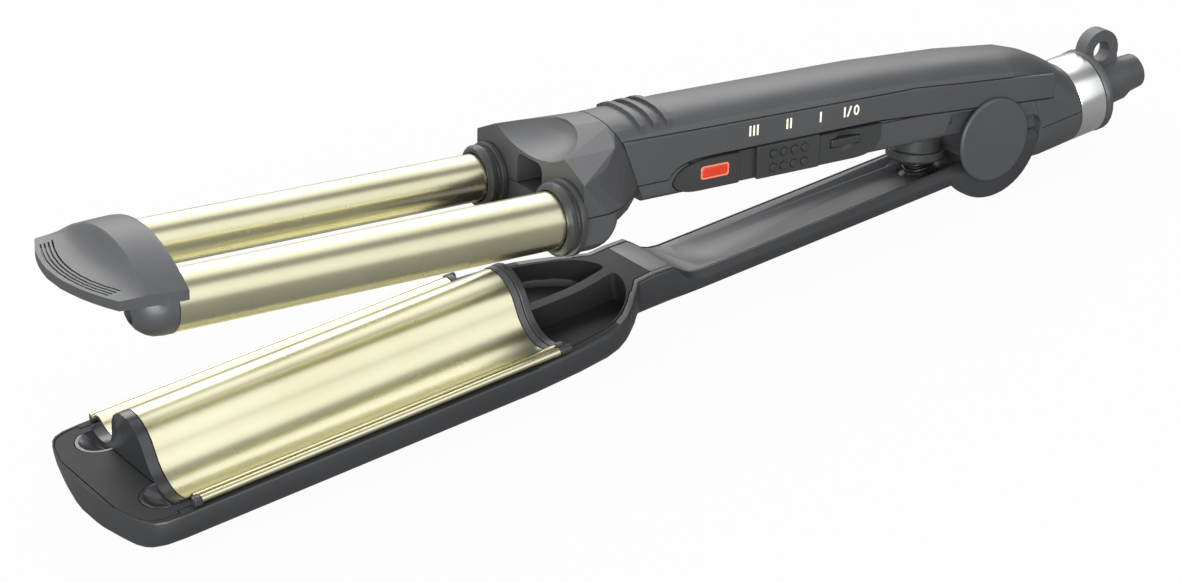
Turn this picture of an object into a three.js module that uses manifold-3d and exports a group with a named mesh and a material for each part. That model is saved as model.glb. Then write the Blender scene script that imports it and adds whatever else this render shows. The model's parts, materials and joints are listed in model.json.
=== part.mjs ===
// Double-barrel hair waver: two heated barrels close onto a heated wave plate.
// Millimetres, +Z up. The closed tool lies along X with its tip at -X and its cord end at +X.
// Both arms are drawn about the hinge axis (the Y axis through 0, 0, 0) and placed by groups.

import * as THREE from 'three';
import { mergeVertices } from 'three/addons/utils/BufferGeometryUtils.js';
import { ConvexGeometry } from 'three/addons/geometries/ConvexGeometry.js';
import Module from 'manifold-3d';

const wasm = await Module();
wasm.setup();

// Clearances
const FIT = 0.3; // between pieces that touch
const RUN = 0.7; // between pieces that move past each other
const NEST_GAP = 2.6; // hair gap between a barrel and its trough
const CUTTER = 60; // reach of a cutting tool past the piece that it cuts

// Arms and hinge
const OPEN_ANGLE = THREE.MathUtils.degToRad(9);
const ARM_HALF_WIDTH = 13.3;
const ARM_BOTTOM = -12.5;
const ARM_TOP = -5.4;
const ARM_WALL = 2.4;
const ARM_FLOOR = 1.6;
const ARM_CHAMFER = 2.1;
const ARM_END = -8;
const EDGE_ROUND = 0.8;
const EAR_RADIUS = 18.5;
const EAR_THICKNESS = 2.4;
const EAR_STEP = 2.4; // rise of the ears behind the hinge
const EAR_SINK = 0.1; // of the ears' front half into the arm's edge
const EAR_CROWN = 8.6;
const KNUCKLE_RADIUS = 8.6;
const PIN_RADIUS = 3;
const BUSH_WALL = 1.2;
const BUSH_LENGTH = 5;
const CAP_RADIUS = 13;
const CAP_THICKNESS = 1.2;

// Barrels, in the upper arm's frame, each over a trough of the plate
const PLATE_HALF_WIDTH = 28.8;
const BARREL_HEIGHT = 6.5;
const NEAR_MARGIN = 9.6; // from the plate's edge to the middle of the nearer barrel
const FAR_MARGIN = 9.2;
const NEAR_BARREL = { y: -PLATE_HALF_WIDTH + NEAR_MARGIN, radius: 8 };
const FAR_BARREL = { y: PLATE_HALF_WIDTH - FAR_MARGIN, radius: 6.8 };
const PLATE_FRONT = -278;
const BARREL_TIP = PLATE_FRONT + 2;
const HOLDER_FRONT = -156;
const BARREL_REAR = HOLDER_FRONT - FIT;
const HEATER_REAR = HOLDER_FRONT + 7;
const BARREL_WALL = 1;
const COLLAR_FRONT = -161.5;
const COLLAR_STEP = 2.4;
const COLLAR_WALL = 2.2;

// Wave plate and lower jaw
const PLATE_REAR = -167;
const PLATE_THICKNESS = 1.2;
const NEAR_BRIM = 1.2;
const FAR_BRIM = 2.4;
const NEAR_LIP = -PLATE_HALF_WIDTH + NEAR_BRIM;
const FAR_LIP = PLATE_HALF_WIDTH - FAR_BRIM;
const RIDGE_MARGIN = 9.6;
const RIDGE_RADIUS = (FAR_BARREL.y - NEAR_BARREL.y) / 2 - RIDGE_MARGIN;
const SADDLE_LENGTH = 3;
const BOWL_AHEAD = 3; // from the plate's front edge to the middle of a bowl
const BOWL_RADIUS = 9.2;
const BOWL_MIDDLE = 4;
const BOWL_RIM = 0.8;
const PAD_FLOOR = -6.9;
const STRIP_WIDTH = 1.8;
const BULKHEAD_WIDTH = 2.2;
const ROD_RADIUS = 1.1;
const JAW_BOTTOM = -13.2;
const JAW_RIM = -2.5;
const JAW_WALL = 3;
const RIM_WIDTH = 1.4; // of the jaw's front rim, where the cover laps over the wall
const LAP_DEPTH = 1.2;
const LAP_END = -283;
const JAW_FLOOR = 2.2;
const RAIL_WIDTH = 3;
const POCKET_RIM = 0.8;
const POCKET_FLOOR = 1.8;
const RIB_HALF_WIDTH = 2;
const RIB_TOP = 0;
const CARRIER_THICKNESS = 2.4;
const NECK_FRONT = -129;
const NECK_TOP = 0;
const NECK_SEAM = -123.3;
const NECK_CREST = -116.8;
const DISH_START = -112;
const DISH_FULL = -96;
const DISH_DEPTH = 2.6;

// Handle, in the upper arm's frame
const HANDLE_FRONT = -136.5;
const SEAM_X = -130; // of the plane between holder and handle, at the split's height
const SEAM_LEAN = 0.39;
const HANDLE_HALF_WIDTH = 13.2;
const HANDLE_BOTTOM = 3;
const HANDLE_WALL = 2.2;
const SPLIT_HEIGHT = 12;
const BAND_THICKNESS = 1.2;
const BAND_TOP = 21;
const BAND_BOTTOM = 13;
const PANEL_THICKNESS = 2;
const PANEL_PROUD = 0.5;
const PANEL_BOTTOM = 3.4;
const NOTCH_TOP = 10.4;
const TAIL_NOTCH_TOP = 5.2;
const TAIL_NOTCH_ROUND = 4.8;
const TAIL_RADIUS = 12.8;
const TAIL_END = 36;
const TAIL_AXIS_DROP = 4;
const TAIL_SPLIT = -3.3;
const TAIL_BAND_LENGTH = 10;
const SWIVEL_RADIUS = 13.1;
const SWIVEL_NECK = 7.4;
const SWIVEL_LENGTH = 22;
const STEM_RADIUS = 6;
const LOOP_RADIUS = 6.8;
const LOOP_HOLE = 3.3;
const LOOP_THICKNESS = 4.6;

// Switches
const SLIDE_WIDTH = 22;
const SLIDE_CENTRE = -77.5;
const SLIDE_TRAVEL = 5.6;
const SLIDE_HEIGHT = 9.6;
const SLIDE_MIDDLE = 8.2;
const SLIDE_THICKNESS = 1.4;
const BUTTON_CENTRE = -56.6;
const BUTTON_MIDDLE = 9.2;
const BUTTON_WIDTH = 10.4;
const BUTTON_HEIGHT = 2.2;
const BUTTON_PROUD = 1.4;
const BUTTON_TRAVEL = 1;
const LENS_CENTRE = -103;
const LENS_MIDDLE = 8.4;
const LENS_WIDTH = 10.6;
const LENS_HEIGHT = 4.8;
const BOARD_FACE = -6.2;
const BOARD_THICKNESS = 1.6;

// Opening spring, in the lower arm's frame
const SPRING_X = -EAR_RADIUS;
const SPRING_RADIUS = 4.4;
const SPRING_WIRE = 0.6;
const SPRING_TURNS = 5.5;
const SPRING_STEPS = 8; // straight steps in a turn
const SPRING_FOOT = -8.4;
const SEAT_RADIUS = 6;
const SEAT_THICKNESS = 0.9;
const SPRING_HEAD = 3.2;
const CUP_RADIUS = 7.4;
const CUP_LIP_RADIUS = 8.8;
const CUP_BOTTOM = -6.3;
const CUP_LIP_HEIGHT = 3.2;
const CUP_WALL = 1.3;
const CUP_ROOM = 0.9; // around the spring in its cup, and around the cup in the arm

const finish = (color, roughness, metalness = 0) =>
  new THREE.MeshStandardMaterial({ color, roughness, metalness });
const graphite = () => finish(0x46494c, 0.55);
const black = () => finish(0x232426, 0.4);
const gloss = () => finish(0x15161a, 0.12);
const champagne = () => finish(0xd8cfa6, 0.35, 1);
const steel = () => finish(0xb9bcc0, 0.3, 1);
const chrome = () => finish(0xe8e9ea, 0.06, 1);
const brass = () => finish(0xc9a54c, 0.3, 1);
const resin = () => finish(0xe6e2d8, 0.7);
const heaterBlock = () => finish(0xb4b6b8, 0.5, 1);
const lensRed = () => finish(0xc84028, 0.25);
const boardGreen = () => finish(0x1f5b3a, 0.6);

// Turns a closed geometry into a solid for cutting and joining
function solid(geometry) {
  const bare = geometry.clone();
  for (const name of Object.keys(bare.attributes)) {
    if (name !== 'position') bare.deleteAttribute(name);
  }
  const merged = mergeVertices(bare, 1e-4);
  const body = new wasm.Manifold(
    new wasm.Mesh({
      numProp: 3,
      vertProperties: new Float32Array(merged.attributes.position.array),
      triVerts: new Uint32Array(merged.index.array),
    }),
  );
  return body;
}

const join = (...pieces) => pieces.reduce((sum, piece) => sum.add(piece));
const cut = (body, ...tools) => tools.reduce((rest, tool) => rest.subtract(tool), body);

function meshOf(name, body, material) {
  const data = body.getMesh();
  const geometry = new THREE.BufferGeometry();
  geometry.setAttribute('position', new THREE.BufferAttribute(data.vertProperties, 3));
  geometry.setIndex(new THREE.BufferAttribute(data.triVerts, 1));
  const flat = geometry.toNonIndexed();
  flat.computeVertexNormals();
  const mesh = new THREE.Mesh(flat, material);
  mesh.name = name;
  return mesh;
}

// Shape helpers: a profile drawn in one plane and swept along the third axis
const AXIS_X = new THREE.Vector3(1, 0, 0);
const AXIS_Y = new THREE.Vector3(0, 1, 0);
const AXIS_Z = new THREE.Vector3(0, 0, 1);

function extrude(shape, depth, curveSegments) {
  return new THREE.ExtrudeGeometry(shape, { depth, bevelEnabled: false, curveSegments });
}

function alongX(shape, from, to, curveSegments = 6) {
  const geometry = extrude(shape, to - from, curveSegments);
  geometry.applyMatrix4(new THREE.Matrix4().makeBasis(AXIS_Y, AXIS_Z, AXIS_X));
  return solid(geometry.translate(from, 0, 0));
}

function alongY(shape, from, to, curveSegments = 6) {
  const geometry = extrude(shape, to - from, curveSegments);
  const backward = AXIS_Y.clone().negate();
  geometry.applyMatrix4(new THREE.Matrix4().makeBasis(AXIS_X, AXIS_Z, backward));
  return solid(geometry.translate(0, to, 0));
}

function box(x, y, z) {
  const geometry = new THREE.BoxGeometry(x[1] - x[0], y[1] - y[0], z[1] - z[0]);
  return solid(geometry.translate((x[0] + x[1]) / 2, (y[0] + y[1]) / 2, (z[0] + z[1]) / 2));
}

// A revolved profile of [radius, height] points, its axis turned from Z to another axis
function turned(points, axis = 'z', sides = 32) {
  const profile = points.map(([radius, height]) => new THREE.Vector2(radius, height));
  const geometry = new THREE.LatheGeometry(profile, sides);
  if (axis === 'z') geometry.rotateX(Math.PI / 2);
  if (axis === 'x') geometry.rotateZ(-Math.PI / 2);
  const body = solid(geometry);
  return body.volume() < 0 ? solid(flipped(geometry)) : body;
}

function flipped(geometry) {
  const copy = geometry.index ? geometry.toNonIndexed() : geometry.clone();
  const position = copy.attributes.position;
  for (let i = 0; i < position.count; i += 3) {
    const first = new THREE.Vector3().fromBufferAttribute(position, i + 1);
    const second = new THREE.Vector3().fromBufferAttribute(position, i + 2);
    position.setXYZ(i + 1, second.x, second.y, second.z);
    position.setXYZ(i + 2, first.x, first.y, first.z);
  }
  return copy;
}

const rod = (radius, from, to, axis, sides = 32) =>
  turned([[0, from], [radius, from], [radius, to], [0, to]], axis, sides);
const tube = (outer, inner, from, to, axis, sides = 32) =>
  turned([[inner, from], [outer, from], [outer, to], [inner, to], [inner, from]], axis, sides);

function ellipsoid(centre, radii, sides = 32) {
  const geometry = new THREE.SphereGeometry(1, sides, sides / 2);
  geometry.scale(...radii);
  return solid(geometry.translate(...centre));
}

// A rounded section in the YZ plane: halfWidth, bottom, top and [y, z] corner radii.
// bevel turns the upper corners from round (0) to chamfered (1).
function section({ halfWidth, bottom, top, lower, upper, bevel = 0 }, steps = 4) {
  const ring = [];
  const corners = [
    [1, -1, lower, -90],
    [1, 1, upper, 0],
    [-1, 1, upper, 90],
    [-1, -1, lower, 180],
  ];
  for (const [sideY, sideZ, [ry, rz], start] of corners) {
    const cy = sideY * (halfWidth - ry);
    const cz = sideZ > 0 ? top - rz : bottom + rz;
    const flat = sideZ > 0 ? bevel : 0;
    const at = (degrees) => {
      const angle = THREE.MathUtils.degToRad(degrees);
      return [ry * Math.cos(angle), rz * Math.sin(angle)];
    };
    const [first, last] = [at(start), at(start + 90)];
    for (let i = 0; i <= steps; i += 1) {
      const share = i / steps;
      const round = at(start + 90 * share);
      const [y, z] = round.map((v, k) => v + flat * (first[k] + share * (last[k] - first[k]) - v));
      ring.push([cy + y, cz + z]);
    }
  }
  return ring;
}

// Skins rings of [y, z] points at stations { x, tilt, ring } and closes both ends
function loft(stations) {
  const rings = stations.map(({ x, tilt = 0, ring }) =>
    ring.map(([y, z]) => new THREE.Vector3(x, y, z).applyAxisAngle(AXIS_Y, tilt)),
  );
  const points = [];
  const triangle = (a, b, c) => points.push(a, b, c);
  for (let s = 0; s + 1 < rings.length; s += 1) {
    const near = rings[s];
    const far = rings[s + 1];
    for (let i = 0; i < near.length; i += 1) {
      const j = (i + 1) % near.length;
      triangle(near[i], near[j], far[j]);
      triangle(near[i], far[j], far[i]);
    }
  }
  const middle = (ring) =>
    ring.reduce((sum, p) => sum.add(p), new THREE.Vector3()).divideScalar(ring.length);
  const first = rings[0];
  const last = rings[rings.length - 1];
  const firstMiddle = middle(first);
  const lastMiddle = middle(last);
  for (let i = 0; i < first.length; i += 1) {
    const j = (i + 1) % first.length;
    triangle(firstMiddle, first[j], first[i]);
    triangle(lastMiddle, last[i], last[j]);
  }
  return solid(new THREE.BufferGeometry().setFromPoints(points));
}

// Straight-line interpolation in a table of [x, value, value, ...] rows
function along(table, x) {
  if (x <= table[0][0]) return table[0].slice(1);
  for (let i = 0; i + 1 < table.length; i += 1) {
    const [x0, ...low] = table[i];
    const [x1, ...high] = table[i + 1];
    if (x <= x1) return low.map((v, k) => v + ((high[k] - v) * (x - x0)) / (x1 - x0));
  }
  return table[table.length - 1].slice(1);
}

const JAW_HALF_WIDTH = PLATE_HALF_WIDTH + JAW_WALL + FIT;

// Plan of the lower arm from tip to ear: x, half width, bottom, top and edge of the shell
const JAW_FRONT = PLATE_FRONT - 18.2;
const JAW = JAW_HALF_WIDTH;
const LOWER_PLAN = [
  [JAW_FRONT, 5, -10.8, JAW_RIM, EDGE_ROUND],
  [JAW_FRONT + 0.3, 8, -11.4, JAW_RIM, EDGE_ROUND],
  [JAW_FRONT + 0.9, 13.2, -12, JAW_RIM, EDGE_ROUND],
  [JAW_FRONT + 1.7, JAW - 13.9, -12.4, JAW_RIM, EDGE_ROUND],
  [JAW_FRONT + 2.5, JAW - 10.1, -12.7, JAW_RIM, EDGE_ROUND],
  [JAW_FRONT + 3.6, JAW - 5.7, -12.9, JAW_RIM, EDGE_ROUND],
  [JAW_FRONT + 4.8, JAW - 3.1, -13, JAW_RIM, EDGE_ROUND],
  [JAW_FRONT + 6.3, JAW - 1.5, -13.1, JAW_RIM, EDGE_ROUND],
  [JAW_FRONT + 9, JAW - 0.4, JAW_BOTTOM, JAW_RIM, EDGE_ROUND],
  [JAW_FRONT + 14, JAW, JAW_BOTTOM, JAW_RIM, EDGE_ROUND],
  [PLATE_REAR - 8, JAW, JAW_BOTTOM, JAW_RIM, EDGE_ROUND],
  [NECK_FRONT - 31, JAW - 1.1, JAW_BOTTOM, JAW_RIM, EDGE_ROUND],
  [NECK_FRONT - 21, JAW - 2.6, JAW_BOTTOM, JAW_RIM, EDGE_ROUND],
  [NECK_FRONT - 16, JAW - 4.4, JAW_BOTTOM, JAW_RIM, EDGE_ROUND],
  [NECK_FRONT - 12, JAW - 6.8, -13.1, -2.3, EDGE_ROUND],
  [NECK_FRONT - 7.4, JAW - 10.8, -12.9, -1.7, EDGE_ROUND],
  [NECK_FRONT - 4, JAW - 14.4, -12.7, -1.1, EDGE_ROUND],
  [NECK_FRONT - 1.6, ARM_HALF_WIDTH + 1.9, ARM_BOTTOM, -0.7, EDGE_ROUND],
  [NECK_FRONT, ARM_HALF_WIDTH + 0.1, ARM_BOTTOM, -0.4, EDGE_ROUND],
  [NECK_SEAM, ARM_HALF_WIDTH, ARM_BOTTOM, NECK_TOP, EDGE_ROUND],
  [NECK_CREST, ARM_HALF_WIDTH, ARM_BOTTOM, NECK_TOP - 0.2, EDGE_ROUND],
  [NECK_CREST + 2.4, ARM_HALF_WIDTH, ARM_BOTTOM, -1.9, 1.6],
  [NECK_CREST + 4.8, ARM_HALF_WIDTH, ARM_BOTTOM, -3.9, ARM_CHAMFER],
  [NECK_CREST + 7.2, ARM_HALF_WIDTH, ARM_BOTTOM, -4.9, ARM_CHAMFER],
  [NECK_CREST + 10.4, ARM_HALF_WIDTH, ARM_BOTTOM, ARM_TOP, ARM_CHAMFER],
  [ARM_END, ARM_HALF_WIDTH, ARM_BOTTOM, ARM_TOP, ARM_CHAMFER],
];

function lowerForm(inset, floor, from, to, lift = 0) {
  const inside = LOWER_PLAN.map(([x]) => x).filter((x) => x > from && x < to);
  return loft(
    [from, ...inside, to].map((x) => {
      const [halfWidth, bottom, top, edge] = along(LOWER_PLAN, x);
      const width = halfWidth - inset;
      const height = top - (bottom + floor);
      const roundness = Math.min(height * 0.75, Math.max(9 - inset, 1.5));
      const corner = inset > 0 ? EDGE_ROUND / 2 : edge;
      const ring = section({
        halfWidth: width,
        bottom: bottom + floor,
        top: top + lift,
        lower: [Math.min(width * 0.45, roundness * 1.2), roundness],
        upper: [corner, Math.min(corner, height * 0.4)],
        bevel: inset > 0 ? 0 : (edge - EDGE_ROUND) / (ARM_CHAMFER - EDGE_ROUND),
      });
      return { x, ring };
    }),
  );
}

// Wave profile: both troughs are concentric with the closed barrels, the ridge joins them
function waveCurve(offset = 0, steps = 9) {
  const nearTrough = NEAR_BARREL.radius + NEST_GAP;
  const farTrough = FAR_BARREL.radius + NEST_GAP;
  const near = nearTrough + RIDGE_RADIUS;
  const far = farTrough + RIDGE_RADIUS;
  const span = FAR_BARREL.y - NEAR_BARREL.y;
  const reach = (near * near - far * far + span * span) / (2 * span);
  const sink = Math.sqrt(near * near - reach * reach);
  const ridge = { y: NEAR_BARREL.y + reach, z: BARREL_HEIGHT - sink };
  const nearTurn = Math.atan2(-sink, reach);
  const farTurn = Math.atan2(-sink, reach - span);
  const points = [];
  const arc = (cy, cz, radius, from, to) => {
    for (let i = 0; i <= steps; i += 1) {
      const angle = from + ((to - from) * i) / steps;
      points.push([cy + radius * Math.cos(angle), cz + radius * Math.sin(angle)]);
    }
  };
  const nearRadius = nearTrough + offset;
  const farRadius = farTrough + offset;
  const nearLip = -Math.acos((NEAR_LIP - NEAR_BARREL.y) / nearRadius);
  const farLip = -Math.acos((FAR_LIP - FAR_BARREL.y) / farRadius);
  points.push([-PLATE_HALF_WIDTH, BARREL_HEIGHT + nearRadius * Math.sin(nearLip)]);
  arc(NEAR_BARREL.y, BARREL_HEIGHT, nearRadius, nearLip, nearTurn);
  arc(ridge.y, ridge.z, RIDGE_RADIUS - offset, nearTurn + Math.PI, farTurn + Math.PI);
  arc(FAR_BARREL.y, BARREL_HEIGHT, farRadius, farTurn, farLip);
  points.push([PLATE_HALF_WIDTH, BARREL_HEIGHT + farRadius * Math.sin(farLip)]);
  const apart = (p, q) => Math.hypot(p[0] - q[0], p[1] - q[1]) > 1e-3;
  return points.filter((point, i) => i === 0 || apart(point, points[i - 1]));
}

function waveSheet(offset, thickness, from, to) {
  const top = waveCurve(offset);
  const under = waveCurve(offset + thickness).reverse();
  const shape = new THREE.Shape([...top, ...under].map(([y, z]) => new THREE.Vector2(y, z)));
  return alongX(shape, from, to);
}

function waveRoom(offset, from, to) {
  const side = PLATE_HALF_WIDTH + FIT;
  const shape = new THREE.Shape(waveCurve(offset).map(([y, z]) => new THREE.Vector2(y, z)));
  shape.lineTo(side, 0);
  shape.lineTo(side, CUTTER);
  shape.lineTo(-side, CUTTER);
  shape.lineTo(-side, 0);
  return alongX(shape, from, to);
}

function waveBlock(offset, bottom, from, to) {
  const top = waveCurve(offset);
  const shape = new THREE.Shape(top.map(([y, z]) => new THREE.Vector2(y, z)));
  shape.lineTo(PLATE_HALF_WIDTH, bottom);
  shape.lineTo(-PLATE_HALF_WIDTH, bottom);
  return alongX(shape, from, to);
}

const BULKHEAD_FRONT = PLATE_REAR + 2 * FIT + STRIP_WIDTH;
const BULKHEAD_REAR = BULKHEAD_FRONT + BULKHEAD_WIDTH;
const CAVITY_FLOOR = JAW_BOTTOM + JAW_FLOOR;
const EAR_INNER = ARM_HALF_WIDTH - EAR_THICKNESS;
const KNUCKLE_HALF_WIDTH = EAR_INNER - FIT;
const SCREW_Y = PLATE_HALF_WIDTH - 11.8;
const JAW_SCREWS = [
  [JAW_FRONT + 12, -SCREW_Y],
  [JAW_FRONT + 12, SCREW_Y],
  [BULKHEAD_REAR + 6, -SCREW_Y],
  [BULKHEAD_REAR + 6, SCREW_Y],
];

function screwPocket(x, y, surface, headRadius) {
  const bore = rod(headRadius + FIT, surface - 2, surface + 1.2, 'z', 16).translate([x, y, 0]);
  return bore;
}

function screwHead(x, y, surface, headRadius) {
  const points = [
    [0, surface + 0.3],
    [headRadius, surface + 0.3],
    [headRadius, surface + 0.9],
    [0, surface + 0.9],
  ];
  const slot = box([-headRadius, headRadius], [-0.4, 0.4], [surface, surface + 0.55]);
  return cut(turned(points, 'z', 16), slot).translate([x, y, 0]);
}

function earProfile(top) {
  const shape = new THREE.Shape();
  shape.moveTo(-ARM_HALF_WIDTH, -CUTTER);
  shape.lineTo(ARM_HALF_WIDTH, -CUTTER);
  shape.lineTo(ARM_HALF_WIDTH, top - ARM_CHAMFER);
  shape.lineTo(ARM_HALF_WIDTH - ARM_CHAMFER, top);
  shape.lineTo(-ARM_HALF_WIDTH + ARM_CHAMFER, top);
  shape.lineTo(-ARM_HALF_WIDTH, top - ARM_CHAMFER);
  return shape;
}

function earPair() {
  const keep = join(
    alongX(earProfile(ARM_TOP - EAR_SINK), -CUTTER, 0),
    alongX(earProfile(ARM_TOP + EAR_STEP), 0, CUTTER),
  );
  const plates = [-1, 1].map((side) => {
    const inner = side * EAR_INNER;
    const outer = side * ARM_HALF_WIDTH;
    const span = [Math.min(inner, outer), Math.max(inner, outer)];
    const round = rod(EAR_RADIUS, span[0], span[1], 'y', 48);
    const crown = rod(EAR_CROWN, span[0], span[1], 'y', 24);
    return join(round.intersect(keep), crown);
  });
  return join(...plates);
}

const SCREW_RADIUS = 2.4;

const COVER_INSET = JAW_WALL + 0.4;
const BAY_END = NECK_FRONT - 1;
const NECK_START = NECK_FRONT - 4;

function lowerShell() {
  const outer = lowerForm(0, 0, JAW_FRONT, ARM_END);
  const bay = lowerForm(JAW_WALL, JAW_FLOOR, JAW_FRONT + COVER_INSET, BAY_END, CUTTER / 4);
  const channel = lowerForm(ARM_WALL, ARM_FLOOR, NECK_START, ARM_END + 1, CUTTER / 4);
  const step = lowerForm(RIM_WIDTH, 0, JAW_FRONT + RIM_WIDTH, LAP_END, CUTTER / 4);
  const above = box([-CUTTER * 6, 0], [-CUTTER, CUTTER], [JAW_RIM - LAP_DEPTH - FIT, CUTTER]);
  const knuckleRoom = rod(KNUCKLE_RADIUS + RUN, -EAR_INNER, EAR_INNER, 'y', 40);
  const tailRoom = box([-6, CUTTER], [-EAR_INNER, EAR_INNER], [-CUTTER / 2, CUTTER / 2]);
  const pinBore = rod(PIN_RADIUS + FIT, -CUTTER, CUTTER, 'y', 24);
  const tray = cut(outer, bay, channel, step.intersect(above));
  const body = cut(join(tray, earPair()), knuckleRoom, tailRoom, pinBore);
  const pockets = JAW_SCREWS.map(([x, y]) => screwPocket(x, y, belly(x), SCREW_RADIUS));
  return cut(body, ...pockets);
}

const belly = (x) => along(LOWER_PLAN, x)[1];

function jawCover() {
  const from = JAW_FRONT + COVER_INSET + FIT;
  const to = NECK_SEAM - FIT / 2;
  const front = lowerForm(JAW_WALL + FIT, JAW_FLOOR + FIT, from, BAY_END - FIT, 0);
  const neck = lowerForm(ARM_WALL + FIT, ARM_FLOOR + FIT, NECK_START, to, 0);
  const rails = lowerForm(JAW_WALL + FIT, JAW_FLOOR + FIT, PLATE_FRONT, BULKHEAD_REAR, 0.8);
  const lapFrom = JAW_FRONT + RIM_WIDTH + FIT;
  const lapForm = lowerForm(RIM_WIDTH + FIT, 0, lapFrom, LAP_END - FIT, 0);
  const lap = lapForm.intersect(
    box([-CUTTER * 6, 0], [-CUTTER, CUTTER], [JAW_RIM - LAP_DEPTH, CUTTER]),
  );
  const bayWidth = PLATE_HALF_WIDTH - RAIL_WIDTH;
  const bay = box(
    [PLATE_FRONT - SADDLE_LENGTH - FIT * 2, BULKHEAD_REAR + FIT],
    [-bayWidth, bayWidth],
    [-CUTTER, CUTTER],
  );
  const pads = bowlPads(FIT, CUTTER).intersect(
    box([-CUTTER * 6, 0], [-bayWidth, bayWidth], [-CUTTER, CUTTER]),
  );
  const lip = waveRoom(PLATE_THICKNESS + FIT, PLATE_FRONT - FIT, BULKHEAD_FRONT);
  return cut(join(front, neck, rails, lap), bay, pads, lip, ...jawPockets());
}

// Two scoops behind the plate that take the barrel holder when the tool closes
function jawPockets() {
  const rim = (x) => along(LOWER_PLAN, x)[0] - JAW_WALL - FIT - POCKET_RIM;
  const start = BULKHEAD_REAR + FIT / 2;
  const follow = [-29, -25, -21, -17, -13, -9].map((step) => NECK_FRONT + step);
  return [-1, 1].map((side) => {
    const shape = new THREE.Shape();
    shape.moveTo(start, side * RIB_HALF_WIDTH);
    shape.lineTo(start, side * rim(start));
    for (const x of follow) shape.lineTo(x, side * rim(x));
    const shoulder = rim(NECK_FRONT - 4) - 2 * FIT;
    shape.quadraticCurveTo(NECK_FRONT - 3, side * shoulder, NECK_FRONT - 1.6, side * shoulder / 2);
    shape.quadraticCurveTo(NECK_FRONT - 0.6, side * 2.4, NECK_FRONT - 2.4, side * RIB_HALF_WIDTH);
    const geometry = extrude(shape, CUTTER, 6);
    return solid(geometry.translate(0, 0, JAW_BOTTOM + JAW_FLOOR + POCKET_FLOOR));
  });
}

// The inlay's hollow: a parabola across the arm that sinks in behind the neck
function dishRoom() {
  const half = ARM_HALF_WIDTH - ARM_WALL - 2 * FIT;
  const spans = 8;
  const ring = (lift) => {
    const points = [];
    for (let i = 0; i <= spans; i += 1) {
      const y = half - (2 * half * i) / spans;
      points.push([y, ARM_TOP + lift - DISH_DEPTH * (1 - (y / half) ** 2)]);
    }
    return [...points.reverse(), [half, CUTTER], [-half, CUTTER]];
  };
  return loft([
    { x: DISH_START, ring: ring(DISH_DEPTH + 3) },
    { x: (DISH_START + DISH_FULL) / 2, ring: ring(1) },
    { x: DISH_FULL, ring: ring(0) },
    { x: 0, ring: ring(0) },
  ]);
}

function armInlay() {
  const from = NECK_SEAM + FIT / 2;
  const body = lowerForm(ARM_WALL + FIT, ARM_FLOOR + FIT, from, ARM_END - FIT, -0.1);
  const foot = SPRING_FOOT - SEAT_THICKNESS - 2 * FIT;
  const seat = rod(SEAT_RADIUS + FIT, foot, 0, 'z', 24).translate([SPRING_X, 0, 0]);
  const cupRoom = rod(CUP_LIP_RADIUS + CUP_ROOM, CUP_BOTTOM - RUN, 0, 'z', 32);
  const knuckleRoom = rod(KNUCKLE_RADIUS + RUN, -ARM_HALF_WIDTH, ARM_HALF_WIDTH, 'y', 40);
  return cut(body, dishRoom(), seat, cupRoom.translate([SPRING_X, 0, 0]), knuckleRoom);
}

// Space inside the jaw's outer shell, less a fitting clearance
const jawRoom = () =>
  lowerForm(JAW_WALL + FIT, JAW_FLOOR + FIT, JAW_FRONT + COVER_INSET + FIT, NECK_FRONT - 11, CUTTER / 2);

// Round pads in front of the plate, each with a bowl for the tip of a barrel
function bowlPads(grow, top) {
  const x = PLATE_FRONT - BOWL_AHEAD;
  const drop = (BOWL_MIDDLE - JAW_RIM) / BOWL_RADIUS;
  const radius = BOWL_RADIUS * Math.sqrt(1 - drop * drop) + BOWL_RIM + grow;
  const pads = [NEAR_BARREL, FAR_BARREL].map(({ y }) =>
    rod(radius, PAD_FLOOR - grow, top, 'z', 28).translate([x, y, 0]),
  );
  return join(...pads);
}

function plateSaddle() {
  const front = PLATE_FRONT - FIT - SADDLE_LENGTH;
  const rear = PLATE_FRONT - FIT;
  const wall = waveBlock(0, CAVITY_FLOOR + FIT, front, rear);
  const inner = PLATE_HALF_WIDTH - RAIL_WIDTH - FIT;
  const keep = box([-CUTTER * 6, rear], [-inner, inner], [-CUTTER, CUTTER]);
  const bowls = [NEAR_BARREL, FAR_BARREL].map(({ y }) =>
    ellipsoid([PLATE_FRONT - BOWL_AHEAD, y, BOWL_MIDDLE], [BOWL_RADIUS, BOWL_RADIUS, BOWL_RADIUS], 28),
  );
  const pads = cut(bowlPads(0, JAW_RIM), ...bowls);
  return join(wall, pads).intersect(keep).intersect(jawRoom());
}

const HEATER_HALF = 6;
const HEATER_BOTTOM = -3;

function plateHeater() {
  const shape = waveBlock(PLATE_THICKNESS + FIT, CAVITY_FLOOR, PLATE_FRONT + 8, PLATE_REAR - 8);
  const keep = box([-CUTTER * 6, 0], [-HEATER_HALF, HEATER_HALF + 1.4], [HEATER_BOTTOM, CUTTER]);
  return shape.intersect(keep);
}

function plateCarrier() {
  const base = CAVITY_FLOOR + FIT;
  const half = PLATE_HALF_WIDTH - RAIL_WIDTH - FIT;
  const x = [PLATE_FRONT + FIT, PLATE_REAR - FIT];
  const floor = box(x, [-half, half], [base, base + CARRIER_THICKNESS]);
  const pedestal = box(
    [x[0] + 8, x[1] - 8],
    [-HEATER_HALF + 1, HEATER_HALF + 0.4],
    [base, HEATER_BOTTOM - FIT],
  );
  const blank = join(floor, pedestal);
  const room = waveBlock(PLATE_THICKNESS + FIT, -CUTTER, x[0] - 1, x[1] + 1);
  return blank.intersect(room).intersect(jawRoom());
}

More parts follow.
